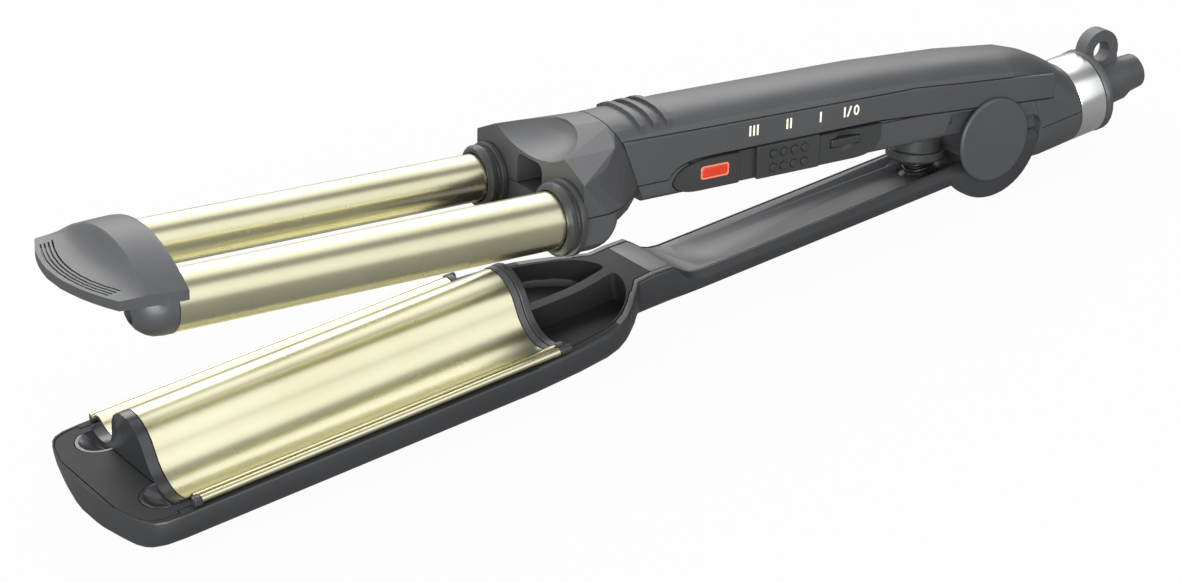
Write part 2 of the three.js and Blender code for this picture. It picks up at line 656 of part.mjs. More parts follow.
function bulkhead() {
  const half = PLATE_HALF_WIDTH - RAIL_WIDTH - FIT;
  const blank = waveBlock(-0.3, CAVITY_FLOOR + FIT, BULKHEAD_FRONT, BULKHEAD_REAR);
  const keep = box([-CUTTER * 6, 0], [-half, half], [-CUTTER, CUTTER]);
  return blank.intersect(keep).intersect(jawRoom());
}

function springCoil() {
  const height = SPRING_HEAD - SPRING_FOOT - 2 * SPRING_WIRE;
  const steps = SPRING_TURNS * SPRING_STEPS;
  const points = [];
  for (let i = 0; i <= steps; i += 1) {
    const turn = (2 * Math.PI * SPRING_TURNS * i) / steps;
    const z = SPRING_FOOT + SPRING_WIRE + (height * i) / steps;
    const x = SPRING_X + SPRING_RADIUS * Math.cos(turn);
    points.push(new THREE.Vector3(x, SPRING_RADIUS * Math.sin(turn), z));
  }
  console.log(`opening_spring least gap ${leastGap(points, SPRING_STEPS, SPRING_WIRE).toFixed(2)} mm`);
  const wire = new THREE.Shape().absarc(0, 0, SPRING_WIRE, 0, 2 * Math.PI);
  const path = new THREE.CatmullRomCurve3(points);
  const options = { steps, extrudePath: path, curveSegments: 3 };
  return solid(new THREE.ExtrudeGeometry(wire, options));
}

// Least distance between the surfaces of turns that lie at least half a turn apart
function leastGap(points, perTurn, radius) {
  let least = Infinity;
  points.forEach((point, i) => {
    for (let j = i + perTurn / 2; j < points.length; j += 1) {
      least = Math.min(least, point.distanceTo(points[j]));
    }
  });
  return least - 2 * radius;
}

// Upper arm: the handle's section from the holder to the hinge, then the round tail
const HANDLE_CREST = [
  [HANDLE_FRONT, 26.3],
  [-109, 27],
  [-75, 26.7],
  [-42, 26.4],
  [-8, 24.8],
  [8, 23.2],
];

function handleSection(x, inset) {
  const [top] = along(HANDLE_CREST, x);
  const halfWidth = HANDLE_HALF_WIDTH - inset;
  return section(
    {
      halfWidth,
      bottom: HANDLE_BOTTOM + inset,
      top: top - inset,
      lower: [2.4, 2.4],
      upper: [halfWidth - 1.5, 8 - inset / 2],
    },
    6,
  );
}

function handleForm(inset, from, to) {
  const stations = [from, -109, -75, -42, -8, to].filter((x) => x >= from && x <= to);
  return loft(stations.map((x) => ({ x, ring: handleSection(x, inset) })));
}

// The tail is level with the lower arm when the tool is open
const TAIL_BOTTOM = -TAIL_AXIS_DROP - TAIL_RADIUS;
const TAIL_PLAN = [
  [-2, HANDLE_HALF_WIDTH, -13, 23.8, 12, 9],
  [8, HANDLE_HALF_WIDTH, -14.8, 22.6, 12, 10],
  [16, HANDLE_HALF_WIDTH, -16, 20.8, 12.4, 11],
  [23, 13.1, TAIL_BOTTOM, 17.8, 12.6, 12],
  [29, 13, TAIL_BOTTOM, 14, 12.7, 12.4],
  [33, 12.9, TAIL_BOTTOM, 11, 12.8, 12.6],
  [TAIL_END, TAIL_RADIUS, TAIL_BOTTOM, TAIL_RADIUS - TAIL_AXIS_DROP, TAIL_RADIUS, TAIL_RADIUS],
];

function tailForm(inset) {
  const from = -2 + inset * 3;
  const stations = [from, ...TAIL_PLAN.slice(1).map(([x]) => x)];
  return loft(
    stations.map((x) => {
      const [halfWidth, bottom, top, corner, crown] = along(TAIL_PLAN, x);
      const width = halfWidth - inset;
      const ring = section(
        {
          halfWidth: width,
          bottom: bottom + inset,
          top: top - inset,
          lower: [Math.min(width, corner), Math.min(width, corner) - inset],
          upper: [Math.min(width, crown + 1), crown - inset],
        },
        6,
      );
      return { x, tilt: -OPEN_ANGLE, ring };
    }),
  );
}

// Everything ahead of the leaning plane between the holder and the handle
const seamAt = (z) => SEAM_X - (z - SPLIT_HEIGHT) * SEAM_LEAN;

function aheadOfSeam(shift) {
  const shape = new THREE.Shape();
  shape.moveTo(seamAt(CUTTER) + shift, CUTTER);
  shape.lineTo(-CUTTER * 6, CUTTER);
  shape.lineTo(-CUTTER * 6, -CUTTER);
  shape.lineTo(seamAt(-CUTTER) + shift, -CUTTER);
  return alongY(shape, -CUTTER, CUTTER);
}

function splitBelow() {
  const shape = new THREE.Shape();
  const drop = Math.sin(OPEN_ANGLE);
  shape.moveTo(-CUTTER * 5, SPLIT_HEIGHT);
  shape.lineTo(15, SPLIT_HEIGHT);
  shape.lineTo(20, TAIL_SPLIT + 20 * drop);
  shape.lineTo(CUTTER, TAIL_SPLIT + CUTTER * drop);
  shape.lineTo(CUTTER, -CUTTER);
  shape.lineTo(-CUTTER * 5, -CUTTER);
  return alongY(shape, -CUTTER, CUTTER);
}

const BAND_LOW = BAND_BOTTOM - 4.6;
const BAND_RISE = -118; // where the band's lower edge starts to rise over the switch panel
const BAND_END = 23.5;

function bandOutline(grow) {
  const shape = new THREE.Shape();
  const left = HANDLE_FRONT - 4;
  const right = BAND_END + grow;
  shape.moveTo(left, BAND_LOW - grow);
  shape.lineTo(BAND_RISE, BAND_LOW - grow);
  shape.quadraticCurveTo(BAND_RISE + 2, BAND_BOTTOM - grow, BAND_RISE + 14, BAND_BOTTOM - grow);
  shape.lineTo(-43, BAND_BOTTOM - grow);
  shape.lineTo(right, BAND_BOTTOM - 4 - grow);
  shape.lineTo(right, BAND_TOP - 4.5 + grow);
  shape.lineTo(-30, BAND_TOP - 0.6 + grow);
  shape.lineTo(left, BAND_TOP + 0.6 + grow);
  return shape;
}

function bandBlank(side, grow, depth) {
  const face = HANDLE_HALF_WIDTH;
  const span = side > 0 ? [face - depth, face + grow * 10] : [-face - grow * 10, -face + depth];
  return alongY(bandOutline(grow), span[0], span[1], 8);
}

function sideBand(side) {
  return cut(bandBlank(side, 0, BAND_THICKNESS), aheadOfSeam(0));
}

const PANEL_FRONT = -117;
const PANEL_END = -43.4;
const PANEL_ROUND = { length: 13, middle: 7 };

function panelOutline(grow) {
  const shape = new THREE.Shape();
  const top = BAND_BOTTOM - 2 * FIT + grow;
  const bottom = PANEL_BOTTOM - grow;
  const left = PANEL_FRONT - grow;
  shape.moveTo(PANEL_FRONT + PANEL_ROUND.length, top);
  shape.quadraticCurveTo(left + 2, top, left, PANEL_ROUND.middle);
  shape.quadraticCurveTo(left + 1, bottom, PANEL_FRONT + 9, bottom);
  shape.lineTo(PANEL_END - 10.6, bottom);
  shape.quadraticCurveTo(PANEL_END + grow, bottom, PANEL_END + grow, PANEL_ROUND.middle + 2);
  shape.lineTo(PANEL_END + grow, top);
  return shape;
}

const PANEL_FACE = -HANDLE_HALF_WIDTH - PANEL_PROUD;
const PANEL_BACK = PANEL_FACE + PANEL_THICKNESS;
const SLIDE_X = [SLIDE_CENTRE - SLIDE_WIDTH / 2, SLIDE_CENTRE + SLIDE_WIDTH / 2];
const SLIDE_Z = [SLIDE_MIDDLE - SLIDE_HEIGHT / 2, SLIDE_MIDDLE + SLIDE_HEIGHT / 2];

function switchPanel() {
  const plate = alongY(panelOutline(0), PANEL_FACE, PANEL_BACK, 8);
  const track = box(
    [SLIDE_X[0] - SLIDE_TRAVEL - FIT, SLIDE_X[1] + FIT],
    [PANEL_FACE - 1, PANEL_FACE + SLIDE_THICKNESS - 0.8 + FIT],
    [SLIDE_Z[0] - FIT, SLIDE_Z[1] + CUTTER],
  );
  const slot = box(
    [SLIDE_CENTRE - 3 - SLIDE_TRAVEL - FIT, SLIDE_CENTRE + 3 + FIT],
    [-CUTTER, CUTTER],
    [SLIDE_MIDDLE - 1.2 - FIT, SLIDE_MIDDLE + 1.2 + FIT],
  );
  const window = box(
    [LENS_CENTRE - LENS_WIDTH / 2 - FIT, LENS_CENTRE + LENS_WIDTH / 2 + FIT],
    [-CUTTER, CUTTER],
    [LENS_MIDDLE - LENS_HEIGHT / 2 - FIT, LENS_MIDDLE + LENS_HEIGHT / 2 + FIT],
  );
  const dish = ellipsoid([BUTTON_CENTRE, PANEL_FACE - 3, BUTTON_MIDDLE + 0.4], [6, 4.2, 5.4], 24);
  const hole = box(
    [BUTTON_CENTRE - BUTTON_WIDTH / 2 - FIT, BUTTON_CENTRE + BUTTON_WIDTH / 2 + FIT],
    [-CUTTER, CUTTER],
    [BUTTON_MIDDLE - BUTTON_HEIGHT / 2 - FIT, BUTTON_MIDDLE + BUTTON_HEIGHT / 2 + FIT],
  );
  const low = box([-CUTTER * 3, 0], [-CUTTER, CUTTER], [-CUTTER, BAND_BOTTOM - 2 * FIT]);
  return cut(plate, track, slot, window, dish, hole).intersect(low);
}

// The room beside the knuckle: high in front of the hinge, low and rounded behind it
function notchRoom() {
  const shape = new THREE.Shape();
  const end = EAR_RADIUS + RUN;
  shape.moveTo(-CUTTER, -CUTTER);
  shape.lineTo(CUTTER, -CUTTER);
  shape.lineTo(CUTTER, TAIL_NOTCH_TOP - TAIL_NOTCH_ROUND);
  shape.lineTo(end, TAIL_NOTCH_TOP - TAIL_NOTCH_ROUND);
  shape.quadraticCurveTo(end, TAIL_NOTCH_TOP, end - TAIL_NOTCH_ROUND, TAIL_NOTCH_TOP);
  shape.lineTo(EAR_CROWN, TAIL_NOTCH_TOP);
  shape.lineTo(0, NOTCH_TOP);
  shape.lineTo(-CUTTER, NOTCH_TOP);
  return alongY(shape, -CUTTER, CUTTER, 6);
}

function handleSolid(inset) {
  const main = handleForm(inset, HANDLE_FRONT, 8);
  return join(main, tailForm(inset));
}

const HOLLOW_END = -14;

function handleBlank() {
  const knuckle = rod(KNUCKLE_RADIUS, -HANDLE_HALF_WIDTH + 1.4, HANDLE_HALF_WIDTH - 1.4, 'y', 40);
  const hollow = handleForm(HANDLE_WALL, HANDLE_FRONT - FIT, HOLLOW_END);
  const cordRoom = rod(TAIL_RADIUS - HANDLE_WALL, TAIL_END - 18, CUTTER, 'x', 24)
    .translate([0, 0, -TAIL_AXIS_DROP])
    .rotate([0, THREE.MathUtils.radToDeg(-OPEN_ANGLE), 0]);
  const pockets = [-1, 1].map((side) => {
    const inner = side * KNUCKLE_HALF_WIDTH;
    const outer = side * CUTTER;
    const wheel = rod(EAR_RADIUS + RUN, Math.min(inner, outer), Math.max(inner, outer), 'y', 48);
    return wheel.intersect(notchRoom());
  });
  const crownRooms = [-1, 1].map((side) => {
    const inner = side * KNUCKLE_HALF_WIDTH;
    const outer = side * CUTTER;
    return rod(EAR_CROWN + RUN, Math.min(inner, outer), Math.max(inner, outer), 'y', 32);
  });
  const bushBore = rod(PIN_RADIUS + FIT + BUSH_WALL + FIT, -CUTTER, CUTTER, 'y', 24);
  const bands = [-1, 1].map((side) => bandBlank(side, FIT, BAND_THICKNESS + FIT));
  const panelRoom = alongY(panelOutline(FIT), -CUTTER, -HANDLE_HALF_WIDTH + HANDLE_WALL + 0.4, 8);
  const body = join(handleSolid(0), knuckle);
  const rooms = [...pockets, ...crownRooms, ...bands];
  return cut(body, hollow, cordRoom, bushBore, panelRoom, aheadOfSeam(0), ...rooms);
}

const GRIP_RIBS = [-132.6, -128, -123.6];
const GRIP_RIB_WIDTH = 1.7;
const GRIP_RIB_HEIGHT = 1;
const GRIP_RIB_REACH = 10.8;
const GRIP_RIB_BOW = 5.6; // how far a rib's ends lie behind its middle

function gripRibs() {
  const steps = [-1, -0.8, -0.6, -0.4, -0.2, 0, 0.2, 0.4, 0.6, 0.8, 1];
  const blades = GRIP_RIBS.map((x) => {
    const shape = new THREE.Shape();
    const middle = (share) => x + GRIP_RIB_BOW * share * share;
    shape.moveTo(middle(-1), -GRIP_RIB_REACH);
    for (const share of steps.slice(1)) shape.lineTo(middle(share), share * GRIP_RIB_REACH);
    for (const share of [...steps].reverse()) {
      shape.lineTo(middle(share) + GRIP_RIB_WIDTH, share * GRIP_RIB_REACH);
    }
    return solid(extrude(shape, CUTTER, 1).translate(0, 0, BAND_TOP - 2));
  });
  const from = GRIP_RIBS[0] - GRIP_RIB_WIDTH;
  const grown = handleForm(-GRIP_RIB_HEIGHT, from, GRIP_RIBS[2] + 2 * GRIP_RIB_BOW);
  return join(...blades).intersect(grown);
}

const HANDLE_SCREWS = [-100, -58];

function handleTopShell(blank) {
  const lid = cut(blank, splitBelow().translate([0, 0, FIT / 2]));
  const hollow = handleForm(HANDLE_WALL, HANDLE_FRONT - FIT, HOLLOW_END);
  return join(lid, cut(gripRibs(), hollow));
}

function handleBottomShell(blank) {
  const tray = blank.intersect(splitBelow().translate([0, 0, -FIT / 2]));
  const pockets = HANDLE_SCREWS.map((x) => screwPocket(x, 3, HANDLE_BOTTOM, SCREW_RADIUS));
  return cut(tray, ...pockets);
}

// Barrel holder: a faceted block, hollowed by a scoop between the barrels
const HOLDER_SPLIT = 8.4;
const HOLDER_SIDE = NEAR_BARREL.radius - NEAR_BARREL.y;
const HOLDER_SHOULDER = { y: HOLDER_SIDE - 9.7, z: 22.2 };
const HOLDER_EDGE = 17.8;
const LOBE_RADIUS = 10.3;
const LOBE_LENGTH = 9.6;
const LOBE_START = HOLDER_FRONT + 5;
const SCOOP = { x: HOLDER_FRONT - 7, z: 27, radii: [19, 21.5, 9.6] };
const WINDOW = { halfWidth: 6.3, top: 17.2, depth: 8.4, corner: 2.4 };

// Half outline of the holder at its split: x, y
const HOLDER_PLAN = [
  [HOLDER_FRONT, HOLDER_SIDE],
  [HOLDER_FRONT + 8, HOLDER_SIDE - 0.2],
  [HOLDER_FRONT + 14.4, HOLDER_SIDE - 2.6],
  [HOLDER_FRONT + 20.8, HOLDER_SIDE - 7.6],
  [seamAt(HOLDER_SPLIT) - FIT, HANDLE_HALF_WIDTH + 0.2],
];

// The crease between the crown and the side facet, and points on the crown: x, y, z
const HOLDER_CROWN = [
  [HOLDER_FRONT + 4.6, HOLDER_SIDE - 1.6, 17.6],
  [HOLDER_FRONT + 11, HOLDER_SIDE - 5.6, 19.4],
  [HOLDER_FRONT + 17.4, HOLDER_SIDE - 11.4, 22.1],
  [HOLDER_FRONT + 9, 8.5, 24.9],
  [HOLDER_FRONT + 9, 4.5, 26],
  [HOLDER_FRONT + 9, 0, 26.4],
];

function heaterBores() {
  return [NEAR_BARREL, FAR_BARREL].map(({ y, radius }) => {
    const bore = rod(radius - BARREL_WALL, HOLDER_FRONT - 1, HEATER_REAR + FIT, 'x', 28);
    return bore.translate([0, y, BARREL_HEIGHT]);
  });
}

function hull(corners) {
  const points = corners.flatMap(([x, y, z]) => [
    new THREE.Vector3(x, y, z),
    new THREE.Vector3(x, -y, z),
  ]);
  return solid(new ConvexGeometry(points));
}

function holderUpper() {
  const seamRing = handleSection(HANDLE_FRONT, 0)
    .filter(([y, z]) => y >= 0 && z > HOLDER_SPLIT)
    .map(([y, z]) => [seamAt(z) - FIT, y, z]);
  const block = hull([
    [HOLDER_FRONT, HOLDER_SIDE, HOLDER_EDGE],
    [HOLDER_FRONT, HOLDER_SHOULDER.y, HOLDER_SHOULDER.z],
    ...HOLDER_PLAN.map(([x, y]) => [x, y, HOLDER_SPLIT]),
    ...HOLDER_CROWN,
    ...seamRing,
  ]);
  const scoop = ellipsoid([SCOOP.x, 0, SCOOP.z], SCOOP.radii, 40);
  const { halfWidth, top, depth, corner } = WINDOW;
  const opening = { halfWidth, bottom: 0, top, lower: [1, 1], upper: [corner, corner] };
  const recess = loft(
    [HOLDER_FRONT - 1, HOLDER_FRONT + depth].map((x) => ({ x, ring: section(opening) })),
  );
  const wiring = box([HOLDER_FRONT + 10, 0], [-7, 7], [HOLDER_SPLIT - 1, 14]);
  return cut(block, scoop, recess, wiring, ...heaterBores());
}

function holderLower() {
  const behind = box([HOLDER_FRONT, 0], [-HOLDER_SIDE, HOLDER_SIDE], [-CUTTER, CUTTER]);
  const lobes = [NEAR_BARREL, FAR_BARREL].map(({ y }) => {
    const sleeve = rod(LOBE_RADIUS, HOLDER_FRONT, LOBE_START, 'x', 28);
    const dome = ellipsoid([LOBE_START, 0, 0], [LOBE_LENGTH, LOBE_RADIUS, LOBE_RADIUS], 28);
    return join(sleeve, dome).translate([0, y * 0.975, BARREL_HEIGHT]).intersect(behind);
  });
  const top = HOLDER_SPLIT - FIT;
  const tray = hull([
    ...HOLDER_PLAN.map(([x, y]) => [x, y, top]),
    ...HOLDER_PLAN.map(([x, y]) => [x - 0.6, y - 0.8, top - 3.4]),
    ...HOLDER_PLAN.map(([x, y]) => [x - 2, y - 4, top - 5]),
  ]).intersect(behind);
  const above = box([-CUTTER * 4, 0], [-CUTTER, CUTTER], [top, CUTTER]);
  const ribHalf = RIB_HALF_WIDTH + 2;
  const ribRoom = box([-CUTTER * 4, 0], [-ribHalf, ribHalf], [-CUTTER, RIB_TOP + 2.6]);
  const body = cut(join(...lobes, tray), above, ribRoom, ...heaterBores());
  return body.intersect(aheadOfSeam(-FIT));
}

function barrel({ y, radius }) {
  return tube(radius, radius - BARREL_WALL, BARREL_TIP, BARREL_REAR, 'x', 40).translate([
    0,
    y,
    BARREL_HEIGHT,
  ]);
}

function collar({ y, radius }) {
  const bore = radius + FIT;
  const outer = radius + COLLAR_WALL;
  const end = HOLDER_FRONT - FIT;
  const profile = [
    [bore, COLLAR_FRONT],
    [outer - 0.9, COLLAR_FRONT],
    [outer, COLLAR_FRONT + 0.9],
    [outer, COLLAR_FRONT + COLLAR_STEP],
    [outer - 0.8, COLLAR_FRONT + COLLAR_STEP + 0.2],
    [outer - 0.8, COLLAR_FRONT + COLLAR_STEP + 1],
    [outer + 0.5, COLLAR_FRONT + COLLAR_STEP + 1.2],
    [outer + 0.5, end],
    [bore, end],
    [bore, COLLAR_FRONT],
  ];
  return turned(profile, 'x', 28).translate([0, y, BARREL_HEIGHT]);
}

function barrelHeater({ y, radius }) {
  const core = rod(radius - BARREL_WALL - FIT, BARREL_TIP + 12, HEATER_REAR, 'x', 24);
  const slot = box([BARREL_TIP, HEATER_REAR + 1], [-0.8, 0.8], [0, CUTTER]);
  return cut(core, slot).translate([0, y, BARREL_HEIGHT]);
}

// Cool tip: an arched band over both barrel ends that sweeps down to a grooved thumb shelf
const TIP_OVERLAP = 2.5; // of the band over the barrels
const TIP_LENGTH = 24.5;
const TIP_REAR = BARREL_TIP + TIP_OVERLAP;
const TIP_FRONT = TIP_REAR - TIP_LENGTH;
const TIP_CENTRE = -0.6; // across the tool
const TIP_SHELF = 11.9;
const TIP_SHELF_THICKNESS = 2.6;
const TIP_CREST = 21.6;
const TIP_HALF_WIDTH = NEAR_BARREL.radius - NEAR_BARREL.y - 0.6;
const TIP_CORNER = TIP_HALF_WIDTH - 1.8;
const TIP_BOW = 6.2; // depth of the curved front edge
const TIP_LOBE_WALL = 0.2;
const VENT_RADIUS = 2.2;
const GROOVES = [1.3, 2.4, 3.5, 4.6]; // from the front edge
const GROOVE_WIDTH = 0.5;
const GROOVE_DEPTH = 0.5;
const GROOVE_REACH = 20;

// x, half width, and how far the arch has risen
const TIP_SWEEP = [
  [TIP_FRONT, 4, 0],
  [TIP_FRONT + 0.7, 8.4, 0],
  [TIP_FRONT + 1.6, 12.6, 0],
  [TIP_FRONT + 2.8, 16.7, 0],
  [TIP_FRONT + 4.1, 20.2, 0.01],
  [TIP_FRONT + 5.4, 23.2, 0.03],
  [TIP_FRONT + TIP_BOW, TIP_CORNER, 0.05],
  [TIP_REAR - 16.5, TIP_CORNER + 0.2, 0.11],
  [TIP_REAR - 14.5, TIP_CORNER + 0.4, 0.24],
  [TIP_REAR - 12.9, TIP_CORNER + 0.6, 0.43],
  [TIP_REAR - 11.7, TIP_CORNER + 0.7, 0.66],
  [TIP_REAR - 11, TIP_CORNER + 0.8, 0.86],
  [TIP_REAR - 10.4, TIP_CORNER + 0.9, 0.94],
  [TIP_REAR - 6, TIP_CORNER + 1.3, 0.98],
  [TIP_REAR - 1.2, TIP_HALF_WIDTH, 1],
  [TIP_REAR, TIP_HALF_WIDTH, 0.97],
];

function tipGroove(start) {
  const edge = (y) => TIP_FRONT + TIP_BOW * (y / TIP_CORNER) ** 2 + start;
  const shape = new THREE.Shape();
  const steps = [-1, -0.75, -0.5, -0.25, 0, 0.25, 0.5, 0.75, 1].map((v) => v * GROOVE_REACH);
  shape.moveTo(edge(steps[0]), steps[0] + TIP_CENTRE);
  for (const y of steps.slice(1)) shape.lineTo(edge(y), y + TIP_CENTRE);
  for (const y of steps.reverse()) shape.lineTo(edge(y) + GROOVE_WIDTH, y + TIP_CENTRE);
  return solid(extrude(shape, CUTTER, 1).translate(0, 0, TIP_SHELF - GROOVE_DEPTH));
}

function tipCap() {
  const spans = 14;
  const stations = TIP_SWEEP.map(([x, halfWidth, rise]) => {
    const ring = [];
    for (let i = 0; i <= spans; i += 1) {
      const y = halfWidth - (2 * halfWidth * i) / spans;
      const arch = 1 - (y / TIP_HALF_WIDTH) ** 2;
      ring.push([y + TIP_CENTRE, TIP_SHELF + (TIP_CREST - TIP_SHELF) * arch * rise]);
    }
    for (let i = 0; i <= spans; i += 1) {
      const y = -halfWidth + (2 * halfWidth * i) / spans;
      ring.push([y + TIP_CENTRE, TIP_SHELF - TIP_SHELF_THICKNESS]);
    }
    return { x, ring };
  });
  const underShelf = join(
    box([TIP_REAR - 10.6, 0], [-CUTTER, CUTTER], [-CUTTER, CUTTER]),
    box([-CUTTER * 6, 0], [-CUTTER, CUTTER], [-CUTTER, TIP_SHELF - TIP_SHELF_THICKNESS / 2]),
  );
  const lobes = [NEAR_BARREL, FAR_BARREL].map(({ y, radius }) => {
    const outer = radius + TIP_LOBE_WALL;
    const sleeve = rod(outer, BARREL_TIP - 3, TIP_REAR, 'x', 24);
    const dome = ellipsoid([BARREL_TIP - 3, 0, 0], [outer, outer, outer], 24);
    return join(sleeve, dome).translate([0, y, BARREL_HEIGHT]).intersect(underShelf);
  });
  const ridgeFront = PLATE_FRONT - FIT - SADDLE_LENGTH - RUN;
  const ridgeRoom = waveBlock(-1.6, -CUTTER, ridgeFront, TIP_REAR + 1).intersect(
    box([-CUTTER * 6, 0], [-RIDGE_RADIUS, RIDGE_RADIUS + 0.7], [-CUTTER, CUTTER]),
  );
  const seats = [NEAR_BARREL, FAR_BARREL].map(({ y, radius }) =>
    rod(radius + FIT, BARREL_TIP - FIT, 0, 'x').translate([0, y, BARREL_HEIGHT]),
  );
  const vents = [NEAR_BARREL, FAR_BARREL].map(({ y }) =>
    rod(VENT_RADIUS, -CUTTER * 6, BARREL_TIP, 'x', 16).translate([0, y, BARREL_HEIGHT - 1.6]),
  );
  const grooves = GROOVES.map(tipGroove);
  return cut(join(loft(stations), ...lobes), ridgeRoom, ...seats, ...vents, ...grooves);
}

function temperatureSlide() {
  const face = PANEL_FACE - 0.8;
  const plate = box(SLIDE_X, [face, face + SLIDE_THICKNESS], SLIDE_Z);
  const stem = box(
    [SLIDE_CENTRE - 3, SLIDE_CENTRE + 3],
    [face + 0.5, PANEL_BACK + 1],
    [SLIDE_MIDDLE - 1.2, SLIDE_MIDDLE + 1.2],
  );
  return join(plate, stem);
}

function powerButton() {
  const half = BUTTON_WIDTH / 2;
  const tall = BUTTON_HEIGHT / 2;
  const bar = box(
    [BUTTON_CENTRE - half, BUTTON_CENTRE + half],
    [PANEL_FACE - BUTTON_PROUD + 0.9, PANEL_BACK + 0.4],
    [BUTTON_MIDDLE - tall, BUTTON_MIDDLE + tall],
  );
  const foot = box(
    [BUTTON_CENTRE - half - 1, BUTTON_CENTRE + half + 1],
    [PANEL_BACK + FIT, PANEL_BACK + 1.1],
    [BUTTON_MIDDLE - tall - 0.8, BUTTON_MIDDLE + tall + 0.8],
  );
  return join(bar, foot);
}

function swivelCap() {
  const base = TAIL_END + FIT + TAIL_BAND_LENGTH + FIT;
  const end = base + SWIVEL_LENGTH;
  const outlet = 3.4;
  const shell = turned(
    [
      [outlet, TAIL_END - 9],
      [STEM_RADIUS, TAIL_END - 9],
      [STEM_RADIUS, TAIL_END + 1],
      [TAIL_RADIUS - 2 - RUN, TAIL_END + 1],
      [TAIL_RADIUS - 2 - RUN, base],
      [SWIVEL_RADIUS - 0.6, base],
      [SWIVEL_RADIUS, base + 0.8],
      [SWIVEL_RADIUS, base + 2],
      [SWIVEL_RADIUS - 1.4, base + 3],
      [SWIVEL_NECK, base + 4.6],
      [SWIVEL_NECK - 0.4, base + 14],
      [outlet + 2.4, base + 17],
      [outlet + 2, end],
      [outlet, end],
      [outlet, TAIL_END - 9],
    ],
    'x',
    28,
  ).translate([0, 0, -TAIL_AXIS_DROP]);
  const centre = { x: base + LOOP_RADIUS + 0.6, z: -TAIL_AXIS_DROP + SWIVEL_NECK + LOOP_HOLE + 1 };
  const half = LOOP_THICKNESS / 2;
  const eye = rod(LOOP_RADIUS, -half, half, 'y', 24).translate([centre.x, 0, centre.z]);
  const root = box(
    [base + 1, centre.x + LOOP_RADIUS - 0.6],
    [-half, half],
    [centre.z - LOOP_RADIUS, centre.z - 1],
  );
  const hole = rod(LOOP_HOLE, -half - 1, half + 1, 'y', 20).translate([centre.x, 0, centre.z]);
  const bore = rod(outlet, TAIL_END - 20, end + 5, 'x', 24).translate([0, 0, -TAIL_AXIS_DROP]);
  return cut(join(shell, cut(join(eye, root), hole)), bore);
}

const SLIP_RING_PITCH = 4;

function slipRing(from) {
  return tube(STEM_RADIUS + FIT + 1, STEM_RADIUS + FIT, from, from + 2.2, 'x', 24).translate([
    0,
    0,
    -TAIL_AXIS_DROP,
  ]);
}

function contactCarrier() {
  const outer = TAIL_RADIUS - HANDLE_WALL - FIT;
  const inner = STEM_RADIUS + 2 * FIT + 1 + RUN;
  return tube(outer, inner, TAIL_END - 9, TAIL_END - 0.5, 'x', 32).translate([
    0,
    0,
    -TAIL_AXIS_DROP,
  ]);
}

function upperSpringSeat() {
  const lip = CUP_BOTTOM + CUP_LIP_HEIGHT;
  const top = HANDLE_BOTTOM - FIT;
  const bore = SPRING_RADIUS + SPRING_WIRE + CUP_ROOM;
  return turned(
    [
      [0, top],
      [CUP_RADIUS, top],
      [CUP_RADIUS, lip],
      [CUP_LIP_RADIUS, lip],
      [CUP_LIP_RADIUS, CUP_BOTTOM + 0.8],
      [CUP_LIP_RADIUS - 0.8, CUP_BOTTOM],
      [bore, CUP_BOTTOM],
      [bore, top - CUP_WALL],
      [0, top - CUP_WALL],
    ],
    'z',
    32,
  ).translate([SPRING_X, 0, 0]);
}

function lowerSpringSeat() {
  const spigot = SPRING_RADIUS - SPRING_WIRE - RUN;
  const foot = SPRING_FOOT - FIT;
  return turned(
    [
      [0, foot - SEAT_THICKNESS],
      [SEAT_RADIUS, foot - SEAT_THICKNESS],
      [SEAT_RADIUS, foot],
      [spigot, foot],
      [spigot, foot + 2.6],
      [0, foot + 2.6],
    ],
    'z',
    24,
  ).translate([SPRING_X, 0, 0]);
}

function hingeCap(side) {
  const inner = ARM_HALF_WIDTH + FIT;
  const profile = [
    [0, inner],
    [CAP_RADIUS, inner],
    [CAP_RADIUS, inner + CAP_THICKNESS - 0.5],
    [CAP_RADIUS - 0.5, inner + CAP_THICKNESS],
    [0, inner + CAP_THICKNESS + 0.2],
  ];
  const cap = turned(profile, 'y', 40);
  return side > 0 ? cap : cap.mirror([0, 1, 0]);
}

function hingeBush(side) {
  const bore = PIN_RADIUS + FIT;
  const far = KNUCKLE_HALF_WIDTH - 0.2;
  const sleeve = tube(bore + BUSH_WALL, bore, far - BUSH_LENGTH, far, 'y', 24);
  return side > 0 ? sleeve : sleeve.mirror([0, 1, 0]);
}

function panelLens() {
  const x = [LENS_CENTRE - LENS_WIDTH / 2, LENS_CENTRE + LENS_WIDTH / 2];
  const z = [LENS_MIDDLE - LENS_HEIGHT / 2, LENS_MIDDLE + LENS_HEIGHT / 2];
  return box(x, [PANEL_FACE - 0.4, PANEL_BACK], z);
}

function rodClip(side) {
  const y = side * (PLATE_HALF_WIDTH + FIT + ROD_RADIUS);
  const z = JAW_RIM + FIT + ROD_RADIUS;
  return rod(ROD_RADIUS, PLATE_REAR, PLATE_REAR + 3.6, 'x', 12).translate([0, y, z]);
}

function edgeRod(side) {
  const y = side * (PLATE_HALF_WIDTH + FIT + ROD_RADIUS);
  const z = JAW_RIM + FIT + ROD_RADIUS;
  return rod(ROD_RADIUS, PLATE_FRONT - 1, PLATE_REAR - FIT, 'x', 12).translate([0, y, z]);
}

